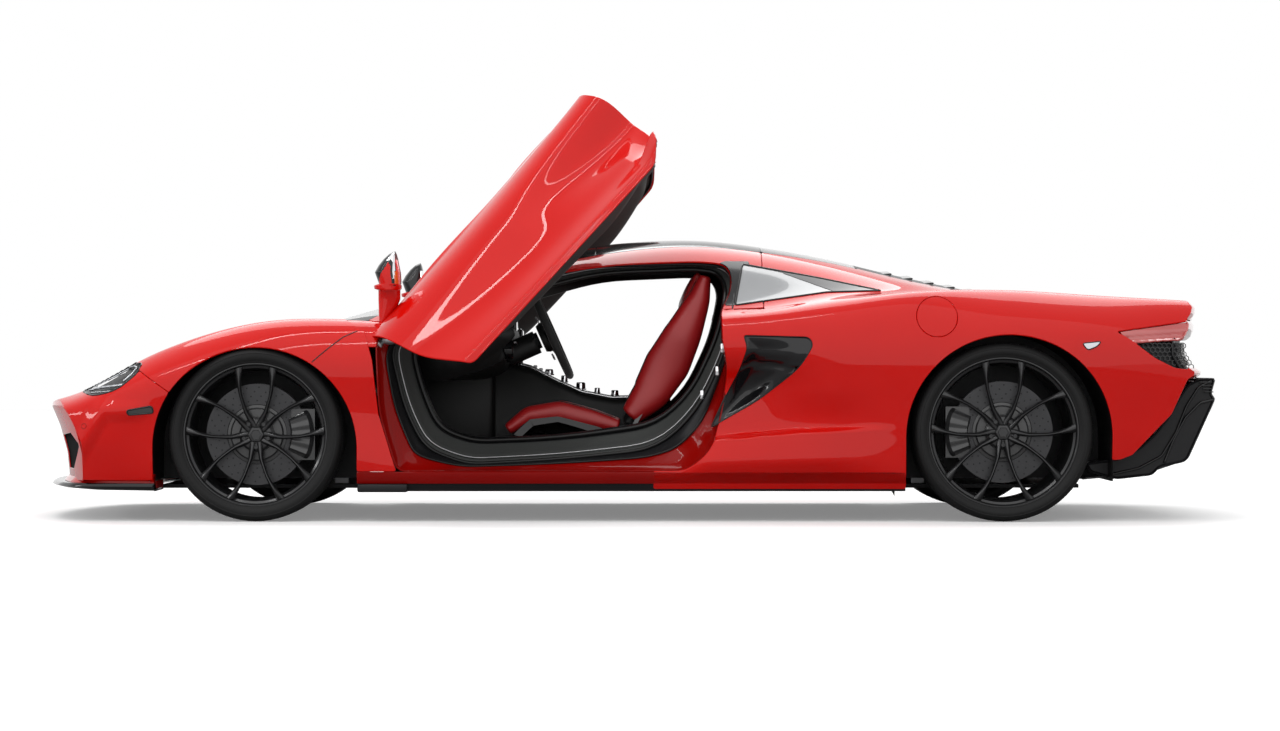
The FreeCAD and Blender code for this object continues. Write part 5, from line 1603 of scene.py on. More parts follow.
def makeQuarterTrim():
    # the black wedge behind the small side window, which paints the shade under the buttress, and the dark
    # seal round both
    buttressShade = lambda x, y, z: outlineDistance(x, z, [(0.505, 0.955), (0.768, 0.856), (0.945, 0.861),
            (0.690, 0.915), (0.560, 0.945)])
    piece = bodyPiece("quarterButtressShade", rearAxle - 1.02, rearAxle - 0.40,
                      allOf(quarterGlass, buttressShade, onSide(0.48)), finish["blackGloss"], inward=-0.0015,
                      thickness=0.006, low=90)
    ridePair(piece)
    # the black pillar between the doorway and the glass
    pillar = lambda x, y, z: outlineDistance(x, z, [(0.320, 0.803), (0.405, 0.803), (0.450, 0.978),
            (0.320, 0.978)])
    post = bodyPiece("quarterPillar", 0.28, 0.48, without(pillar, doorway, quarterGlass),
                     finish["blackGloss"], inward=-0.0018, thickness=0.004, low=90)
    ridePair(post)
    points = []
    for x, z in evenLoop(outline("quarterGlass"), 120):
        row = rowAt(x)
        points.append((x, float(np.interp(z, np.maximum.accumulate(row[:, 2]), row[:, 1])), z))
    ridePair(tubeAlong("quarterGlassSeal", points, roundProfile(0.0045, 8), finish["rubber"], closed=True))


def makeLids():
    # engine cover with slats, the air brake and the round fuel flap
    cover = makePanel("engineCoverFrame", patch(coverFront - 0.03, coverRear + 0.03, 2, 100),
                      without(onPlan["cover"]), finish["blackSatin"])
    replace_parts(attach(cover, "engine_cover"), "engine_cover")
    for k in range(11):
        x = coverFront + 0.12 + 0.082 * k
        row = rowAt(x)
        half = 0.36 - 0.004 * k
        ys = np.linspace(-half, half, 25)
        zs = np.interp(np.abs(ys), -row[::-1, 1], row[::-1, 2])
        section = [(-0.026, 0.001), (-0.020, 0.004), (0.020, 0.007), (0.026, 0.004), (0.020, -0.001),
                   (-0.020, -0.004)]
        loops = [[(x + a, y, z + b - 0.002) for a, b in section] for y, z in zip(ys, zs)]
        slat = loft(f"coverSlat{k}", loops, finish["blackGloss"], 30)
        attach(slat, "engine_cover")
    brake = makePanel("airBrakeSkin", patch(brakeFront - 0.03, car["tail"] - 0.05, 1, 90),
                      without(allOf(onPlan["brake"], above(0.76)), tailLimit), finish["paint"])
    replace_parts(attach(brake, "air_brake"), "air_brake")
    points = dressGrid(patch(flapCentre[0] - 0.1, flapCentre[0] + 0.1, 1))
    verts, faces = clipGrid(points, without(fuelFlap)(points[..., 0], points[..., 1], points[..., 2]))
    flap = thicken("fuelFlapSkin", verts, faces, 0.006, finish["paint"])
    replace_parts(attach(flap, "fuel_flap"), "fuel_flap")
    # only the left side has a flap: the right side is closed there
    verts, faces = clipGrid(points, fuelFlap(points[..., 0], points[..., 1], points[..., 2]) - 0.004)
    plug = thicken("quarterPlug", verts, faces, 0.006, finish["paint"], 0.0002)
    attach(mirrorObject(plug, "quarterPlugRight"), "body")
    bpy.data.objects.remove(plug)
    flapX, flapZ = flapCentre
    cupRadius, neckShare = flapRadius + 0.004, 0.45
    ring = [(flapX + cupRadius * math.cos(a), flapZ + cupRadius * math.sin(a)) for a in turnAngles(72)]
    cup = [[(x, sideY(x, z) + depth, z) for x, z in ring] for depth in (0.010, 0.045)]
    cup.append([(flapX + (x - flapX) * neckShare, sideY(x, z) + 0.05, flapZ + (z - flapZ) * neckShare)
                for x, z in ring])
    verts, faces = bridge(np.array(cup))
    faces.append([2 * len(ring) + i for i in range(len(ring))])
    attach(thicken("fuelFillerCup", verts, faces, 0.003, finish["blackSatin"], 0.0005), "body")


tailMesh = {"cell": 0.0105, "wire": 0.0028, "height": 0.623}


def makeTailSide():
    # the wedge of lamp and mesh that wraps from the rear face onto each side
    start, end = car["tail"] - 0.50, car["tail"] - 0.12
    lamp = bodyPiece("tailLampWrap", start, end, without(inTail["lamp"], tailLimit), finish["lampRed"],
                     shape=lambda verts: 0.004 + 0.010 * bump(verts[:, 2],
            0.690 + 0.06 * (verts[:, 0] - 1.95), 0.010))
    ridePair(lamp)
    backing = bodyPiece("tailMeshBacking", start, end, without(inTail["grille"], tailLimit),
                        finish["blackSatin"], inward=0.022)
    ridePair(backing)
    middle = (car["tail"] - 0.22, 0.622)

    def onTailSide(a, b, out):
        x, z = middle[0] + a, middle[1] + b
        return (x, sideY(x, z) + 0.014 - out, z)

    def inMesh(a, b):
        x, z = middle[0] + a, middle[1] + b
        return float(outlineDistance(np.array(x), np.array(z),
                tailCorners["grille"])) < -0.002 and x < float(rearFace(0.80, z))
    net = honeycomb("tailMeshWrap", 0.40, 0.13, tailMesh["cell"], tailMesh["wire"], onTailSide,
                    finish["blackGloss"], inMesh)
    ridePair(net)
    marker = roundedOutline([(1.665, 0.662), (1.736, 0.669), (1.719, 0.650), (1.684, 0.637)], 0.010)
    lens = bodyPiece("sideRepeater", 1.62, 1.78, lambda x, y, z: outlineDistance(x, z, marker),
                     finish["lampSilver"], inward=-0.0015, thickness=0.005)
    ridePair(lens)
    ridePair(sideTube("sideRepeaterRim", evenLoop(marker, 50), 0.0022, finish["blackGloss"], out=0.001))


def makeRearFace():
    # the rear of the body between the two sides, in bands from the deck lip down to the bumper
    bands = [("deckLip", 0.752, 0.835, 0.0, "paint", "tail_deck"),
             ("tailLampBar", 0.677, 0.748, 0.003, "lampRed", "tail_lamps"),
             ("tailRecess", 0.568, 0.680, 0.026, "blackSatin", None),
             ("rearFascia", 0.530, 0.571, 0.0, "paint", "rear_bumper")]
    for name, low, high, inward, material, node in bands:
        points = faceGrid(rearFace, -0.93, 0.93, low, high, 0.006)
        edge = faceInside(points)
        points[..., 0] -= inward
        verts, faces = clipGrid(points, np.maximum(edge, -1.0))
        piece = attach(thicken(name, verts, faces, 0.005, finish[material], 0.0008), "body")
        if node:
            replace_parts(piece, node)

    def onRearFace(a, b, out):
        z = tailMesh["height"] + b
        return (float(rearFace(a, z)) - 0.010 + out, a, z)
    net = honeycomb("tailMesh", 1.62, 0.11, tailMesh["cell"], tailMesh["wire"], onRearFace,
                    finish["blackGloss"],
                    lambda a, b: abs(a) < 0.80 and abs(b) < 0.050)
    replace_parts(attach(net, "body"), "tail_grille")


def makeDiffuser():
    # a dark undertail: side plates, a sloping floor, upright strakes and a vented upper lip
    outer = [(1.700, 0.215), (1.808, 0.229), (1.864, 0.251), (1.909, 0.277), (1.962, 0.323), (2.014, 0.390),
             (2.052, 0.458), (2.089, 0.510), (2.134, 0.533), (2.187, 0.533, 0.004),
             (2.191, 0.525, 0.004), (2.176, 0.473, 0.01), (2.191, 0.458, 0.004), (2.187, 0.443, 0.006),
             (2.090, 0.229, 0.01), (2.074, 0.217), (1.984, 0.198, 0.01), (1.954, 0.168), (1.819, 0.153),
             (1.781, 0.161), (1.715, 0.180)]
    ring = evenLoop(roundedOutline(outer, 0.012), 130)
    bow = lambda y: 0.070 * (1 - (abs(y) / 0.75) ** 2)

    def pushed(x, y, z):
        # the rear part bows out towards the middle of the car and stays inside the box
        return (min(x + bow(y) * float(ramp(x, 1.75, 2.10)), 2.268), y, z)

    def bowed(y, shrink=0.0):
        loop = insetLoop(ring, shrink) if shrink else ring
        return [pushed(x, y, z) for x, z in loop]
    loops = [bowed(-0.775, 0.010), bowed(-0.781, 0.004), bowed(-0.778), bowed(-0.735), bowed(-0.700),
             bowed(-0.690, 0.004)]
    ridePair(loft("diffuserSidePlate", loops, finish["blackSatin"], 28))
    # raised ribs that sweep up the side plate
    for k, line in enumerate(([(1.790, 0.170), (1.900, 0.195), (1.985, 0.240), (2.040, 0.330),
                               (2.080, 0.430), (2.125, 0.500), (2.172, 0.522)],
                              [(1.995, 0.215), (2.030, 0.300), (2.075, 0.385), (2.130, 0.440),
                               (2.180, 0.452)])):
        path = [(x, -0.780, z) for x, z in evenLoop(line, 40, closed=False)]
        ridePair(tubeAlong(f"diffuserRib{k}", path, roundProfile(0.005, 8), finish["blackGloss"]))
    for k in range(4):
        slat = roundedBlock(f"diffuserVent{k}", (2.150 + 0.004 * k, -0.783, 0.517 - 0.012 * k),
                            (0.046 - 0.004 * k, 0.006, 0.004), 0.001, finish["blackGloss"])
        ridePair(slat)
    # floor, upper fascia and strakes between the plates
    ys = np.linspace(-0.71, 0.71, 49)
    line = evenLoop([(1.700, 0.150), (1.790, 0.158), (1.960, 0.235), (2.080, 0.330), (2.110, 0.400),
                     (2.125, 0.440), (2.165, 0.460), (2.178, 0.478), (2.190, 0.526), (2.182, 0.533),
                     (2.120, 0.534)], 60, closed=False)
    points = np.array([[pushed(x, y, z) for y in ys] for x, z in line])
    floor = thicken("diffuserFloor", *bridge(points, closed=False), 0.006, finish["carbon"], 0.001)
    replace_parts(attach(floor, "body"), "diffuser")
    strake = [(1.800, 0.140), (1.980, 0.175), (2.100, 0.215), (2.185, 0.400), (2.110, 0.400),
              (1.960, 0.240), (1.790, 0.162)]
    for y in (-0.45, -0.22, 0.0, 0.22, 0.45):
        loop = [(x + bow(y) * 0.6, z) for x, z in roundedOutline(strake, 0.012)]
        sides = [[(x, y + half, z) for x, z in loop] for half in (-0.005, 0.005)]
        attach(loft(f"diffuserStrake{int((y + 1) * 100)}", sides, finish["carbon"], 30), "body")


def lampPoint(x, z, inward):
    # a place on the lamp's side of the nose; above the wing's crest it stays on the crest
    row = rowAt(x)
    outer = row[np.abs(row[:, 1]) > 0.62]
    crest = outer[np.argmax(outer[:, 2])]
    if z > crest[2] - 0.004:
        return (x, crest[1], crest[2] - inward)
    return (x, sideY(x, z) + inward, z)


def makeWingCorners():
    # the small corner between the wing, the windscreen's foot and the door's hinge
    box = allOf(behind(-1.065), ahead(-0.925), above(0.650), below(0.800))
    ridePair(bodyPiece("wingCorner", -1.08, -0.91, without(box, doorway, onPlan["screen"], onPlan["cowl"]),
                       finish["paint"], inward=0.003, thickness=0.003, low=60))


def makeHeadlamps():
    # a dark bowl behind the outline, silver light guides and a fine black rim
    lamp = outline("headlamp")
    start, end = frontAxle - 0.70, frontAxle - 0.40
    bowl = bodyPiece("headlampBowl", start, end, allOf(headlamp, onSide(0.55)), finish["blackSatin"],
                     shape=lambda verts: 0.002 + 0.010
                     * ramp(-outlineDistance(verts[:, 0], verts[:, 2], lamp), 0.0, 0.015))
    ridePair(bowl, replaces="headlamps")
    lines = [([(-1.968, 0.538), (-1.905, 0.566), (-1.858, 0.578), (-1.846, 0.572), (-1.862, 0.548),
               (-1.890, 0.522)], 0.0036), ([(-2.020, 0.500), (-1.960, 0.527), (-1.890, 0.552)], 0.0018),
             ([(-2.030, 0.487), (-1.985, 0.497), (-1.930, 0.503), (-1.893, 0.508)], 0.0046),
             ([(-2.020, 0.478), (-1.960, 0.483), (-1.905, 0.487)], 0.0022)]
    for k, (line, radius) in enumerate(lines):
        path = [lampPoint(x, z, 0.006) for x, z in evenLoop(line, 30, closed=False)]
        ridePair(tubeAlong(f"headlampGuide{k}", path, roundProfile(radius, 10, 0.8), finish["lampSilver"]))
    rim = [lampPoint(x, z, 0.001) for x, z in evenLoop(lamp, 110)]
    ridePair(tubeAlong("headlampRim", rim, roundProfile(0.0032, 8), finish["blackGloss"], closed=True))


def makeNoseTrim():
    # the joint between the wing and the panel behind the wheel, and the small fin ahead of the rear wheel
    shut = [(-1.023, 0.7085), (-1.075, 0.685), (-1.124, 0.646), (-1.160, 0.615), (-1.186, 0.592)]
    ridePair(sideTube("wingShutLine", evenLoop(shut, 40, closed=False), 0.0024, finish["rubber"],
                      out=-0.0008, closed=False))
    fin = [[(x, y, z) for x, z in ((0.935, 0.150), (0.978, 0.150), (0.975, 0.095), (0.962, 0.118))]
           for y in (-0.906, -0.898)]
    ridePair(loft("wheelFin", fin, finish["blackSatin"], smooth=False))
    slot = roundedOutline([(frontAxle - 0.470, 0.4135), (frontAxle - 0.378, 0.4300),
                           (frontAxle - 0.372, 0.404), (frontAxle - 0.466, 0.396)], 0.010)
    piece = bodyPiece("sideMarker", frontAxle - 0.52, frontAxle - 0.36, lambda x, y,
                      z: outlineDistance(x, z, slot), finish["charcoal"], inward=-0.001, thickness=0.006)
    ridePair(piece)
    ridePair(sideTube("sideMarkerRim", evenLoop(slot, 60), 0.0030, finish["blackGloss"], out=0.001))
    # the ring round the sensor is drawn in the darker red that paints shade
    sensor = [(-2.032 + 0.0095 * math.cos(a), 0.355 + 0.0095 * math.sin(a)) for a in turnAngles(24)]
    ridePair(sideTube("parkingSensor", sensor, 0.0012, finish["paintedShadeRed"], out=0.0))
    # the splitter: a thin blade that runs round the nose, and a painted lip above it
    ys = np.concatenate([np.linspace(-0.925, -0.70, 24), np.linspace(-0.69, 0, 40)])
    reach = lambda y: max(float(frontFace(y, 0.13)) - 0.062 * float(1 - ramp(abs(y), 0.70, 0.93)) + 0.35
                          * float(ramp(abs(y), 0.80, 0.925)) ** 2, -2.268)
    for name, profile, material in (
            ("splitterBlade", [(0.0, 0.136), (-0.004, 0.129), (0.030, 0.121), (0.10, 0.115), (0.40, 0.113),
                               (0.40, 0.119), (0.10, 0.130), (0.03, 0.142), (0.008, 0.141)], "blackGloss"),
            ("splitterLip", [(0.042, 0.1425), (0.046, 0.138), (0.120, 0.132), (0.40, 0.122), (0.40, 0.150),
                             (0.120, 0.165), (0.072, 0.175), (0.058, 0.158)], "paint")):
        loops = []
        for y in ys:
            x0 = reach(y)
            loops.append([(min(x0 + a, frontAxle - 0.372), y, z) for a, z in profile])
        verts, faces = bridge(np.array(loops), capEnds=False)
        faces.append(list(range(len(profile))))
        half = creaseByAngle(tidyNormals(newObject(name, verts, faces, finish[material])), 32)
        piece = mirrorObject(half, join=True)
        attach(piece, "body")
        if name == "splitterBlade":
            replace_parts(piece, "splitter")


makeSills()
makeSideIntakes()
makeQuarterTrim()
makeLids()
makeTailSide()
makeRearFace()
makeDiffuser()
makeHeadlamps()
makeWingCorners()
makeNoseTrim()
print("both ends made")


# the side view of the cushions: the seat from front to back, then the backrest upwards, with its thickness
seat = {
    "y": -0.380, "width": 0.43, "cushionWidth": 0.25,

    "base": [(-0.475, 0.335), (-0.395, 0.392), (-0.280, 0.405), (-0.150, 0.372), (-0.050, 0.345)],
    "wing": [(-0.010, 0.385), (0.070, 0.470), (0.145, 0.600), (0.205, 0.720), (0.256, 0.835),
             (0.280, 0.925)],
    "back": [(-0.035, 0.360), (0.035, 0.470), (0.120, 0.610), (0.195, 0.760), (0.250, 0.905)],
}


def seatSheet(line, across, lift, crown, count=44, rows=40, wing=0.0, wingEnd=1.0):
    # a grid over a side-view line: raised bolsters at both edges and a crowned middle
    line = evenLoop(line, count, closed=False)
    along = np.gradient(line, axis=0)
    along /= np.linalg.norm(along, axis=1, keepdims=True)
    normal = np.stack([-along[:, 1], along[:, 0]], -1)
    points = np.zeros((count, rows, 3))
    for i in range(count):
        t = i / (count - 1)
        for j in range(rows):
            s = -1 + 2 * j / (rows - 1)
            rise = lift + crown * (1 - (2 * t - 1) ** 4) * (1 - s
                    * s) + wing * abs(s) ** 2.2 * math.sin(math.pi * min(1, t / wingEnd)) ** 0.6
            points[i, j] = (line[i, 0] + normal[i, 0] * rise, seat["y"] + s * across(t) / 2,
                            line[i, 1] + normal[i, 1] * rise)
    return points


def sheetFaces(count, rows):
    return [[i * rows + j, (i + 1) * rows + j, (i + 1) * rows + j + 1, i * rows + j + 1]
            for i in range(count - 1) for j in range(rows - 1)]


def puffUp(obj, cap, voxel=0.006, pressure=4.0):
    # a stuffed cover: the closed form is remeshed, inflated as cloth for twenty frames and held within a cap
    remesh = obj.modifiers.new("remesh", "REMESH")
    remesh.mode, remesh.voxel_size = "VOXEL", voxel
    seen = obj.evaluated_get(bpy.context.evaluated_depsgraph_get())
    mesh = bpy.data.meshes.new_from_object(seen)
    obj.modifiers.clear()
    obj.data = mesh
    rest = np.empty(len(mesh.vertices) * 3)
    mesh.vertices.foreach_get("co", rest)
    cloth = obj.modifiers.new("cloth", "CLOTH")
    settings = cloth.settings
    settings.quality, settings.mass = 5, 0.3
    settings.use_pressure, settings.uniform_pressure_force = True, pressure
    settings.effector_weights.gravity = 0
    settings.tension_stiffness = settings.compression_stiffness = 12
    settings.bending_stiffness = 0.6
    cloth.point_cache.frame_start, cloth.point_cache.frame_end = 1, 20
    for step in range(1, 21):
        bpy.context.scene.frame_set(step)
    seen = obj.evaluated_get(bpy.context.evaluated_depsgraph_get())
    moved = np.empty(len(rest))
    result = bpy.data.meshes.new_from_object(seen)
    result.vertices.foreach_get("co", moved)
    shift = (moved - rest).reshape(-1, 3)
    length = np.linalg.norm(shift, axis=1, keepdims=True)
    shift *= np.minimum(1, cap / np.maximum(length, 1e-9))
    result.vertices.foreach_set("co", (rest.reshape(-1, 3) + shift).ravel())
    obj.modifiers.clear()
    obj.data = result
    bpy.context.scene.frame_set(1)
    result.polygons.foreach_set("use_smooth", [True] * len(result.polygons))
    return obj


def makeSeats():
    wide = lambda t: seat["width"] * (1 - 0.06 * t)
    backWide = lambda t: seat["width"] * (1.0 - 0.30 * ramp(t, 0.55, 1.0) - 0.06 * bump(t, 0.35, 0.2))
    slim = lambda t: seat["cushionWidth"] * (1 - 0.10 * t)
    pieces = []
    shellBase = thicken("seatShellBase", seatSheet(seat["base"], wide, -0.030, 0.0, wing=0.020).reshape(-1,
            3), sheetFaces(44, 40), 0.030, finish["blackGloss"], 0.003)
    shellBack = thicken("seatShellBack", seatSheet(seat["back"], backWide, -0.034, 0.0, wing=0.018,
            wingEnd=1.3).reshape(-1, 3), sheetFaces(44, 40), 0.018, finish["carbon"], 0.003)
    pieces += [shellBase, shellBack]
    # bolsters: a red wing along each side of the seat and of the back, thickest at its middle
    for name, line, across, half, deep in (
            ("seatRollBase", seat["base"], wide, 0.036, [0.022, 0.034, 0.040, 0.038, 0.028]),
            ("seatRollBack", seat["wing"], backWide, 0.040, [0.040, 0.072, 0.086, 0.072, 0.050, 0.022])):
        path = evenLoop(line, 40, closed=False)
        for side in (-1, 1):
            loops = []
            for i, (x, z) in enumerate(path):
                t = i / 39
                swell = float(np.interp(t, np.linspace(0, 1, len(deep)), deep))
                tangent = path[min(i + 1, 39)] - path[max(i - 1, 0)]
                tangent /= np.linalg.norm(tangent)
                centre = seat["y"] + side * (across(t) / 2 - half * 0.75)
                loops.append([(x - tangent[1] * swell * math.sin(a), centre + half * math.cos(a),
                               z + tangent[0] * swell * math.sin(a)) for a in turnAngles(28)])
            place = "Inner" if side > 0 else "Outer"
            roll = loft(f"{name}{place}", loops, finish["leatherRed"])
            smooth = roll.modifiers.new("round", "SUBSURF")
            smooth.levels = smooth.render_levels = 1
            pieces.append(roll)
            seam = [tuple(np.array(loop[7]) + np.array([0, side * 0.002, 0])) for loop in loops[2:-2]]
            pieces.append(tubeAlong(f"{name}Seam{place}", seam, roundProfile(0.0022, 6),
                    finish["leatherBlack"]))
    # centre cushions, stuffed and then crossed by sewn channels
    for name, line, lift, cap in (("seatCushion", seat["base"], 0.004, 0.010),
                                  ("seatBackCushion", seat["back"], 0.000, 0.010)):
        sheet = seatSheet(line, slim, lift, 0.010, 30, 24)
        body = thicken(name, sheet.reshape(-1, 3), sheetFaces(30, 24), 0.034, finish["leatherBlack"], 0.004)
        pad = puffUp(body, cap)
        pad.name = name
        if not pad.data.materials:
            pad.data.materials.append(finish["leatherBlack"])
        pieces.append(pad)
        path = evenLoop(line, 60, closed=False)
        along = np.gradient(path, axis=0)
        along /= np.linalg.norm(along, axis=1, keepdims=True)
        lines = []
        for share in (0.16, 0.30, 0.44, 0.58, 0.72, 0.86):
            i = int(share * 59)
            half = slim(share) / 2 * 0.94
            lines.append(tubeAlong("stitch",
                    [(path[i, 0] - along[i, 1] * (lift + 0.0135), seat["y"] + y,
                      path[i, 1] + along[i, 0] * (lift + 0.0135)) for y in np.linspace(-half, half, 16)],
                    roundProfile(0.0022, 6), None))
        stitches = joinObjects(f"{name}Seams", lines, finish["thread"])
        pieces.append(stitches)
    rest = thicken("headRest", seatSheet([(0.205, 0.800), (0.235, 0.870), (0.262, 0.925)],
            lambda t: 0.20 - 0.04 * t, 0.020, 0.010, 20, 20).reshape(-1, 3), sheetFaces(20, 20), 0.022,
                   finish["leatherRed"], 0.006)
    pieces.append(rest)
    rails = [roundedBlock(f"seatRail{side}", (-0.24, seat["y"] + side * 0.16, 0.185), (0.42, 0.035, 0.030),
                          0.004, finish["metal"]) for side in (-1, 1)]
    stand = [roundedBlock(f"seatStand{k}", (x, seat["y"], 0.255), (0.05, 0.30, 0.125), 0.008,
                          finish["blackSatin"]) for k, x in enumerate((-0.36, -0.12))]
    for piece in pieces + rails + stand:
        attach(piece, "body")
        twin = mirrorObject(piece, piece.name + "Right")
        for modifier in piece.modifiers:
            copy = twin.modifiers.new(modifier.name, "SUBSURF")
            copy.levels = copy.render_levels = 1
        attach(twin, "body")
        (piece.name.startswith(("seatCushion", "seatBackCushion", "seatRoll",
                                  "headRest")) and "Seam" not in piece.name)
    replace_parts(pieces[0], "seats")
    print("seats made")


def makeDashboard():
    # one shape across the car, deeper in front of the driver, with a hood, a screen and air vents
    ys = np.linspace(-0.60, 0.60, 61)
    loops = []
    for y in ys:
        hood = 0.040 * bump(y, -0.38, 0.17)
        knee = 0.02 * math.cos(y * 5)
        profile = [(-0.900, 0.700), (-0.780, 0.735 + hood * 0.3), (-0.640, 0.742 + hood),
                   (-0.520, 0.735 + hood), (-0.455, 0.712 + hood), (-0.440, 0.690 + hood * 0.6),
                   (-0.470, 0.668),
                   (-0.500, 0.640), (-0.480, 0.612), (-0.490, 0.580 - knee), (-0.560, 0.545 - knee),
                   (-0.720, 0.520), (-0.880, 0.540)]
        loops.append([(x, y, z) for x, z in evenLoop(roundedOutline(profile, 0.03), 64)])
    dash = loft("dashboardShell", loops, finish["leatherBlack"])
    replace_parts(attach(dash, "body"), "dashboard")
    strip = tubeAlong("dashboardStrip", [(-0.447, y, 0.667) for y in np.linspace(-0.58, 0.58, 60)],
                      roundProfile(0.004, 8), finish["metal"])
    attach(strip, "body")
    cluster = roundedBlock("driverDisplay", (-0.452, -0.38, 0.748), (0.018, 0.24, 0.075), 0.008,
                           finish["screen"])
    bezel = roundedBlock("driverDisplayBezel", (-0.461, -0.38, 0.746), (0.020, 0.26, 0.090), 0.010,
                         finish["blackGloss"])
    centre = roundedBlock("centreDisplay", (-0.440, 0.0, 0.640), (0.014, 0.125, 0.165), 0.008,
                          finish["screen"])
    frameOfCentre = roundedBlock("centreDisplayBezel", (-0.450, 0.0, 0.640), (0.020, 0.140, 0.182), 0.010,
                                 finish["blackGloss"])
    for piece in (cluster, bezel, centre, frameOfCentre):
        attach(piece, "body")
    for k, y in enumerate((-0.54, -0.16, 0.16, 0.54)):
        rings = [[(-0.486 + out, y + radius * math.cos(a), 0.640 + radius * math.sin(a))
                  for a in turnAngles(36)]
                 for out, radius in ((0.0, 0.036), (0.028, 0.036), (0.032, 0.032), (0.026, 0.028),
                (0.012, 0.026))]
        vent = loft(f"airVent{k}", rings, finish["blackGloss"], 30)
        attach(vent, "body")
        for j in range(-2, 3):
            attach(roundedBlock(f"ventSlat{k}{j + 2}", (-0.466, y, 0.640 + 0.010 * j),
                                 (0.014, 0.050 - 0.004 * abs(j), 0.002), 0.0006, finish["metal"], 1),
                    "body")


def makeConsole():
    # the tunnel between the seats: it runs down from the dashboard and up to an arm rest
    line = [(-0.560, 0.595, 0.082), (-0.470, 0.590, 0.085), (-0.400, 0.572, 0.090), (-0.300, 0.520, 0.098),
            (-0.200, 0.475, 0.103), (-0.080, 0.452, 0.104), (0.040, 0.455, 0.104), (0.150, 0.470, 0.100)]
    samples = evenLoop(line, 56, closed=False)
    loops = []
    for x, z, half in samples:
        section = [(-half, 0.175), (-half, z - 0.030), (-half + 0.012, z - 0.008), (-half + 0.030, z),
                   (0, z + 0.006), (half - 0.030, z), (half - 0.012, z - 0.008), (half, z - 0.030),
                   (half, 0.175)]
        loops.append([(x, y, h) for y, h in section])
    console = loft("consoleShell", loops, finish["leatherBlack"], 40)
    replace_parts(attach(console, "body"), "console")
    top = []
    for x, z, half in samples[6:44]:
        top.append([(x, y, z + 0.006 + rise) for y, rise in ((-half + 0.040, 0.0), (-half + 0.040, 0.003),
                (half - 0.040, 0.003), (half - 0.040, 0.0))])
    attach(loft("consolePlate", top, finish["blackGloss"], smooth=False), "body")
    edges = [tubeAlong("edge", [(x, side * (half - 0.026), z + 0.002) for x, z, half in samples[2:54]],
                       roundProfile(0.003, 8), None) for side in (-1, 1)]
    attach(joinObjects("consoleBrightLines", edges, finish["chrome"]), "body")

    def topHeight(x):
        return float(np.interp(x, samples[:, 0], samples[:, 1])) + 0.008
    knobs = []
    for x, y, radius, height in ((-0.330, 0.0, 0.017, 0.022), (-0.270, -0.032, 0.013, 0.026),
                                 (-0.270, 0.032, 0.013, 0.026), (-0.205, 0.0, 0.019, 0.028),
                                 (-0.140, -0.030, 0.011, 0.020), (-0.140, 0.030, 0.011, 0.020),
                                 (-0.070, 0.0, 0.015, 0.022)):
        base = topHeight(x)
        ring = [[(x + r * math.cos(a), y + r * math.sin(a), base + h) for a in turnAngles(28)]
                for r, h in ((radius * 1.15, -0.002), (radius * 1.15, 0.003), (radius, 0.005),
                             (radius * 0.94, height - 0.003), (radius * 0.82, height),
                             (radius * 0.4, height - 0.001))]
        knobs.append(loft("knob", ring, None, 30))
    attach(joinObjects("consoleKnobs", knobs, finish["chrome"]), "body")
    switches = [roundedBlock("switch", (-0.385 + 0.022 * k, 0.0, topHeight(-0.385 + 0.022 * k) + 0.004),
                             (0.014, 0.050, 0.010), 0.002, finish["metal"], 2) for k in range(3)]
    for k, piece in enumerate(switches):
        piece.name = f"consoleSwitch{k}"
        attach(piece, "body")


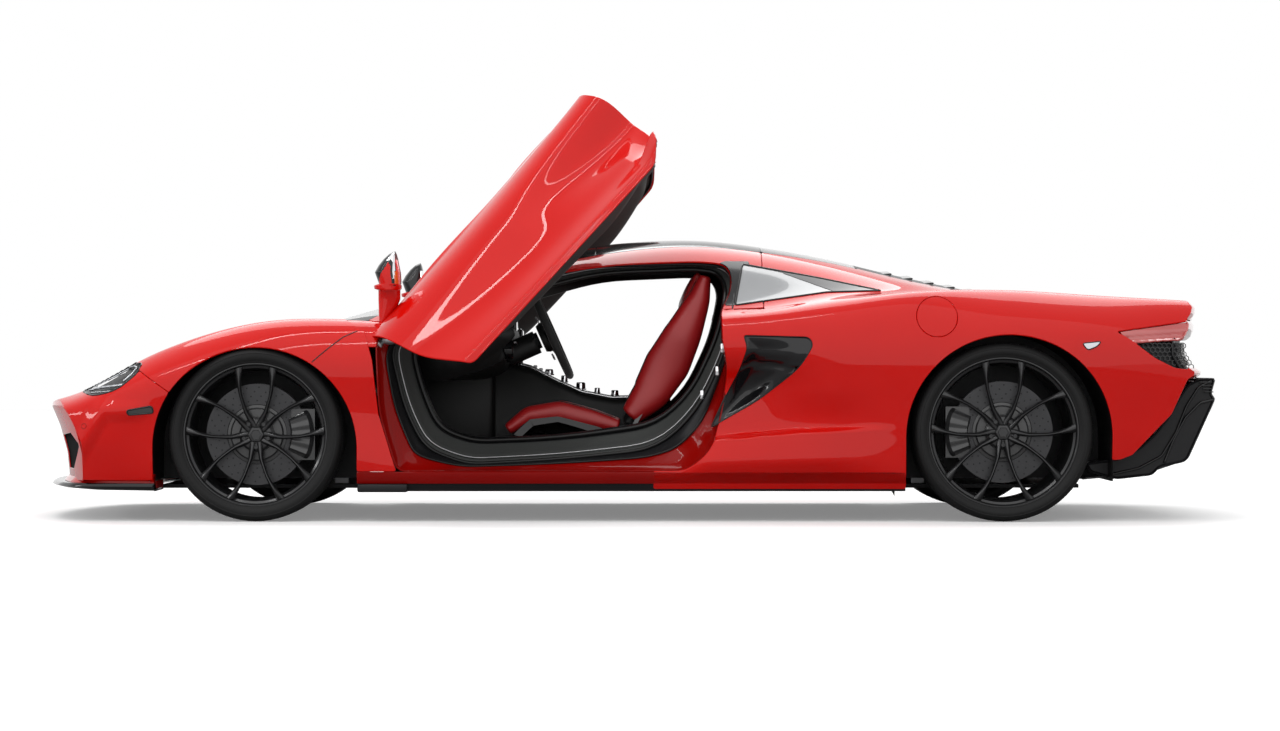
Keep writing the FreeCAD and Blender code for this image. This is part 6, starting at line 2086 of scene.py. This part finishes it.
def makeSteeringWheel():
    # built flat about the column's axis and then turned into place
    joint = joints["steering_wheel_turn"]
    axis, centre = Vector(joint["axis"]).normalized(), Vector(joint["pos_m"])
    place = Matrix.Translation(centre) @ Vector((0, 0, 1)).rotation_difference(axis).to_matrix().to_4x4()
    pieces = []
    ring = []
    for a in turnAngles(96):
        radius = 0.170 - 0.010 * float(bump(a, math.pi * 1.5, 0.5))
        ring.append((radius * math.cos(a), radius * math.sin(a), 0.0))
    rim = tubeAlong("steeringRim", ring, roundProfile(0.0155, 14, 1.15), finish["suede"], closed=True)
    pieces.append(rim)
    for k, angle in enumerate((math.radians(8), math.radians(172), math.radians(270))):
        loops = []
        for t in np.linspace(0, 1, 12):
            r = 0.035 + 0.128 * t
            wide = 0.020 - 0.008 * math.sin(math.pi * t) if k < 2 else 0.026 - 0.006 * t
            direction, across = Vector((math.cos(angle), math.sin(angle), 0)), Vector((-math.sin(angle),
                    math.cos(angle), 0))
            sink = -0.022 * (1 - t) ** 1.5
            loops.append([tuple(direction * r + across * u * wide + Vector((0, 0, sink + w * 0.006))) for u,
                          w in ((-1, 0), (-0.7, 1), (0.7, 1), (1, 0), (0.7, -1), (-0.7, -1))])
        pieces.append(loft(f"steeringSpoke{k}", loops, finish["blackGloss"], 40))
    loops = [[(r * math.cos(a) * 1.15, r * math.sin(a) * 0.92, h) for a in turnAngles(48)] for r,
             h in ((0.046, -0.045), (0.052, -0.030), (0.052, -0.016), (0.045, -0.006), (0.030, -0.002),
                   (0.008, -0.001))]
    pieces.append(loft("steeringHub", loops, finish["leatherBlack"], 40))
    for side in (-1, 1):
        loops = [[(side * 0.078 + u * 0.010, 0.055 + v, -0.030 + h) for u,
                  v in ((-1, -0.05), (1, -0.04), (1.6, 0.05), (0, 0.055))] for h in (-0.003, 0.003)]
        pieces.append(loft(f"shiftPaddle{'Right' if side > 0 else 'Left'}", loops, finish["metal"],
                           smooth=False))
    for piece in pieces:
        piece.data.transform(place)
        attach(piece, "steering_wheel")
    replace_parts(rim, "steering_wheel")
    column = tubeAlong("steeringColumn", [tuple(centre - axis * d) for d in np.linspace(0.052, 0.20, 10)],
                       roundProfile(0.032, 20), finish["blackSatin"])
    shroud = tubeAlong("columnShroud",
                       [tuple(centre - axis * d + Vector((0, 0, -0.004)))
                        for d in np.linspace(0.062, 0.19, 10)], roundProfile(0.045, 20, 0.85),
                       finish["leatherBlack"])
    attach(column, "body")
    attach(shroud, "body")
    for side in (-1, 1):
        stalk = tubeAlong(f"columnStalk{side + 1}",
                          [tuple(centre - axis * 0.075 + Vector((0, side * d, 0.02)))
                           for d in np.linspace(0.03, 0.13, 8)], roundProfile(0.006, 10),
                          finish["blackSatin"])
        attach(stalk, "body")


def makeFootwell():
    # the tunnel's front part, the wall ahead of the feet and the pedals
    parts = [roundedBlock("footwellTunnel", (-0.745, 0.0, 0.365), (0.410, 0.230, 0.390), 0.030,
                          finish["leatherBlack"]),
             roundedBlock("footwellWall", (-0.930, 0.0, 0.375), (0.030, 1.300, 0.400), 0.010,
                          finish["leatherBlack"]),
             roundedBlock("footRest", (-0.870, -0.215, 0.250), (0.090, 0.090, 0.150), 0.012,
                          finish["metal"])]
    for k, (y, wide, high) in enumerate(((-0.345, 0.085, 0.060), (-0.470, 0.050, 0.130))):
        parts.append(roundedBlock(f"pedalPlate{k}", (-0.835, y, 0.300), (0.014, wide, high), 0.006,
                                  finish["metal"]))
        parts.append(roundedBlock(f"pedalArm{k}", (-0.870, y, 0.360), (0.014, 0.020, 0.190), 0.004,
                                  finish["blackSatin"]))
    for part in parts:
        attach(part, "body")


makeSeats()
makeFootwell()
makeDashboard()
makeConsole()
makeSteeringWheel()
print("inside made")


def makeStage():
    floorVerts = [(-30, -13.5, 0), (30, -13.5, 0), (30, 30, 0), (-30, 30, 0)]
    floor = newObject("studioFloor", floorVerts, [[0, 1, 2, 3]], None, smooth=False)
    material = bpy.data.materials.new("studioFloor")
    material.use_nodes = True
    tree = material.node_tree
    shader = tree.nodes["Principled BSDF"]
    shader.inputs["Roughness"].default_value = 0.9
    shader.inputs["Specular IOR Level"].default_value = 0.1
    shader.inputs["Emission Color"].default_value = (1, 1, 1, 1)
    paths = addNode(tree, "ShaderNodeLightPath", (-600, 0))
    tone = addNode(tree, "ShaderNodeMapRange", (-300, 100))
    tone.inputs["To Min"].default_value, tone.inputs["To Max"].default_value = 0.42, 0.86
    glow = addNode(tree, "ShaderNodeMath", (-300, -200), operation="MULTIPLY")
    glow.inputs[1].default_value = 0.22
    tree.links.new(paths.outputs["Is Camera Ray"], tone.inputs["Value"])
    tree.links.new(paths.outputs["Is Camera Ray"], glow.inputs[0])
    tree.links.new(tone.outputs["Result"], shader.inputs["Base Color"])
    tree.links.new(glow.outputs["Value"], shader.inputs["Emission Strength"])
    floor.data.materials.append(material)


def makeWorld():
    world = bpy.data.worlds.new("studio")
    bpy.context.scene.world = world
    world.use_nodes = True
    tree = world.node_tree
    background = tree.nodes["Background"]
    background.inputs["Color"].default_value = (1, 1, 1, 1)
    paths = addNode(tree, "ShaderNodeLightPath", (-600, 0))
    seen = addNode(tree, "ShaderNodeMath", (-400, 0), operation="MAXIMUM")
    tree.links.new(paths.outputs["Is Camera Ray"], seen.inputs[0])
    tree.links.new(paths.outputs["Is Transmission Ray"], seen.inputs[1])
    strength = addNode(tree, "ShaderNodeMapRange", (-200, 0))
    strength.inputs["To Min"].default_value, strength.inputs["To Max"].default_value = 0.46, 1.0
    either = addNode(tree, "ShaderNodeMath", (-300, -200), operation="MAXIMUM")
    tree.links.new(seen.outputs["Value"], either.inputs[0])
    tree.links.new(paths.outputs["Is Glossy Ray"], either.inputs[1])
    tree.links.new(either.outputs["Value"], strength.inputs["Value"])
    tree.links.new(strength.outputs["Result"], background.inputs["Strength"])


def makeLamps():
    # a broad light above and behind, a fill from the front and soft boxes for the long highlights
    for name, energy, spread, lean, turn in (("backLight", 1.75, 46, -36, 0),
            ("fillLight", 1.1, 90, 53, -8)):
        data = bpy.data.lights.new(name, "SUN")
        data.energy, data.angle = energy, math.radians(spread)
        lamp = bpy.data.objects.new(name, data)
        lamp.rotation_euler = (math.radians(lean), 0, math.radians(turn))
        bpy.context.scene.collection.objects.link(lamp)
    for name, place, aim, width, height, power in (
            ("frontSoftbox", (-7.0, -2.5, 2.6), (-1, 0, 0.5), 2.0, 0.5, 40),
            ("rearSoftbox", (6.5, 3.0, 3.4), (1, 0, 0.6), 2.5, 0.5, 50)):
        data = bpy.data.lights.new(name, "AREA")
        data.shape, data.size, data.size_y, data.energy = "RECTANGLE", width, height, power
        lamp = bpy.data.objects.new(name, data)
        lamp.location = place
        lamp.rotation_euler = (Vector(aim) - Vector(place)).to_track_quat("-Z", "Y").to_euler()
        bpy.context.scene.collection.objects.link(lamp)


def makeDoorLines():
    # two slim lights parallel to the raised doors, far to the side, that draw lines along their creases
    along = Vector((0.633, 0.308, 0.710)).normalized()
    for k, (place, power) in enumerate(((Vector((-1.95, -1.60, 4.30)), 24),
            (Vector((-0.85, -2.60, 4.60)), 16))):
        data = bpy.data.lights.new(f"doorLine{k}", "AREA")
        data.shape, data.size, data.size_y, data.energy = "RECTANGLE", 4.0, 0.10, power
        lamp = bpy.data.objects.new(f"doorLine{k}", data)
        back = (place - Vector((-0.3, -1.15, 1.15))).normalized()
        back = (back - along * back.dot(along)).normalized()
        across = back.cross(along)
        lamp.matrix_world = Matrix.Translation(place) @ Matrix((along, across, back)).transposed().to_4x4()
        bpy.context.scene.collection.objects.link(lamp)


makeStage()
makeWorld()
makeLamps()
makeDoorLines()
bpy.context.scene.view_settings.view_transform = "Standard"


def finishFrameNodes():
    # the CAD pieces that stay in view take a finish made for them
    kept = {"tub": "carbon", "front_frame": "metal", "rear_frame": "metal", "underfloor": "blackSatin",
            "engine_block": "engine",
            "splitter": "carbon", "diffuser": "blackSatin", "front_wishbones": "metal",
            "rear_wishbones": "metal",
            "knuckle_front_left": "caliper", "knuckle_front_right": "caliper",
            "hub_carrier_rear_left": "caliper", "hub_carrier_rear_right": "caliper"}
    for node, name in kept.items():
        if node in frame["nodes"]:
            data = frame["nodes"][node].data
            data.materials.clear()
            data.materials.append(finish[name])


finishFrameNodes()
print("scene ready")
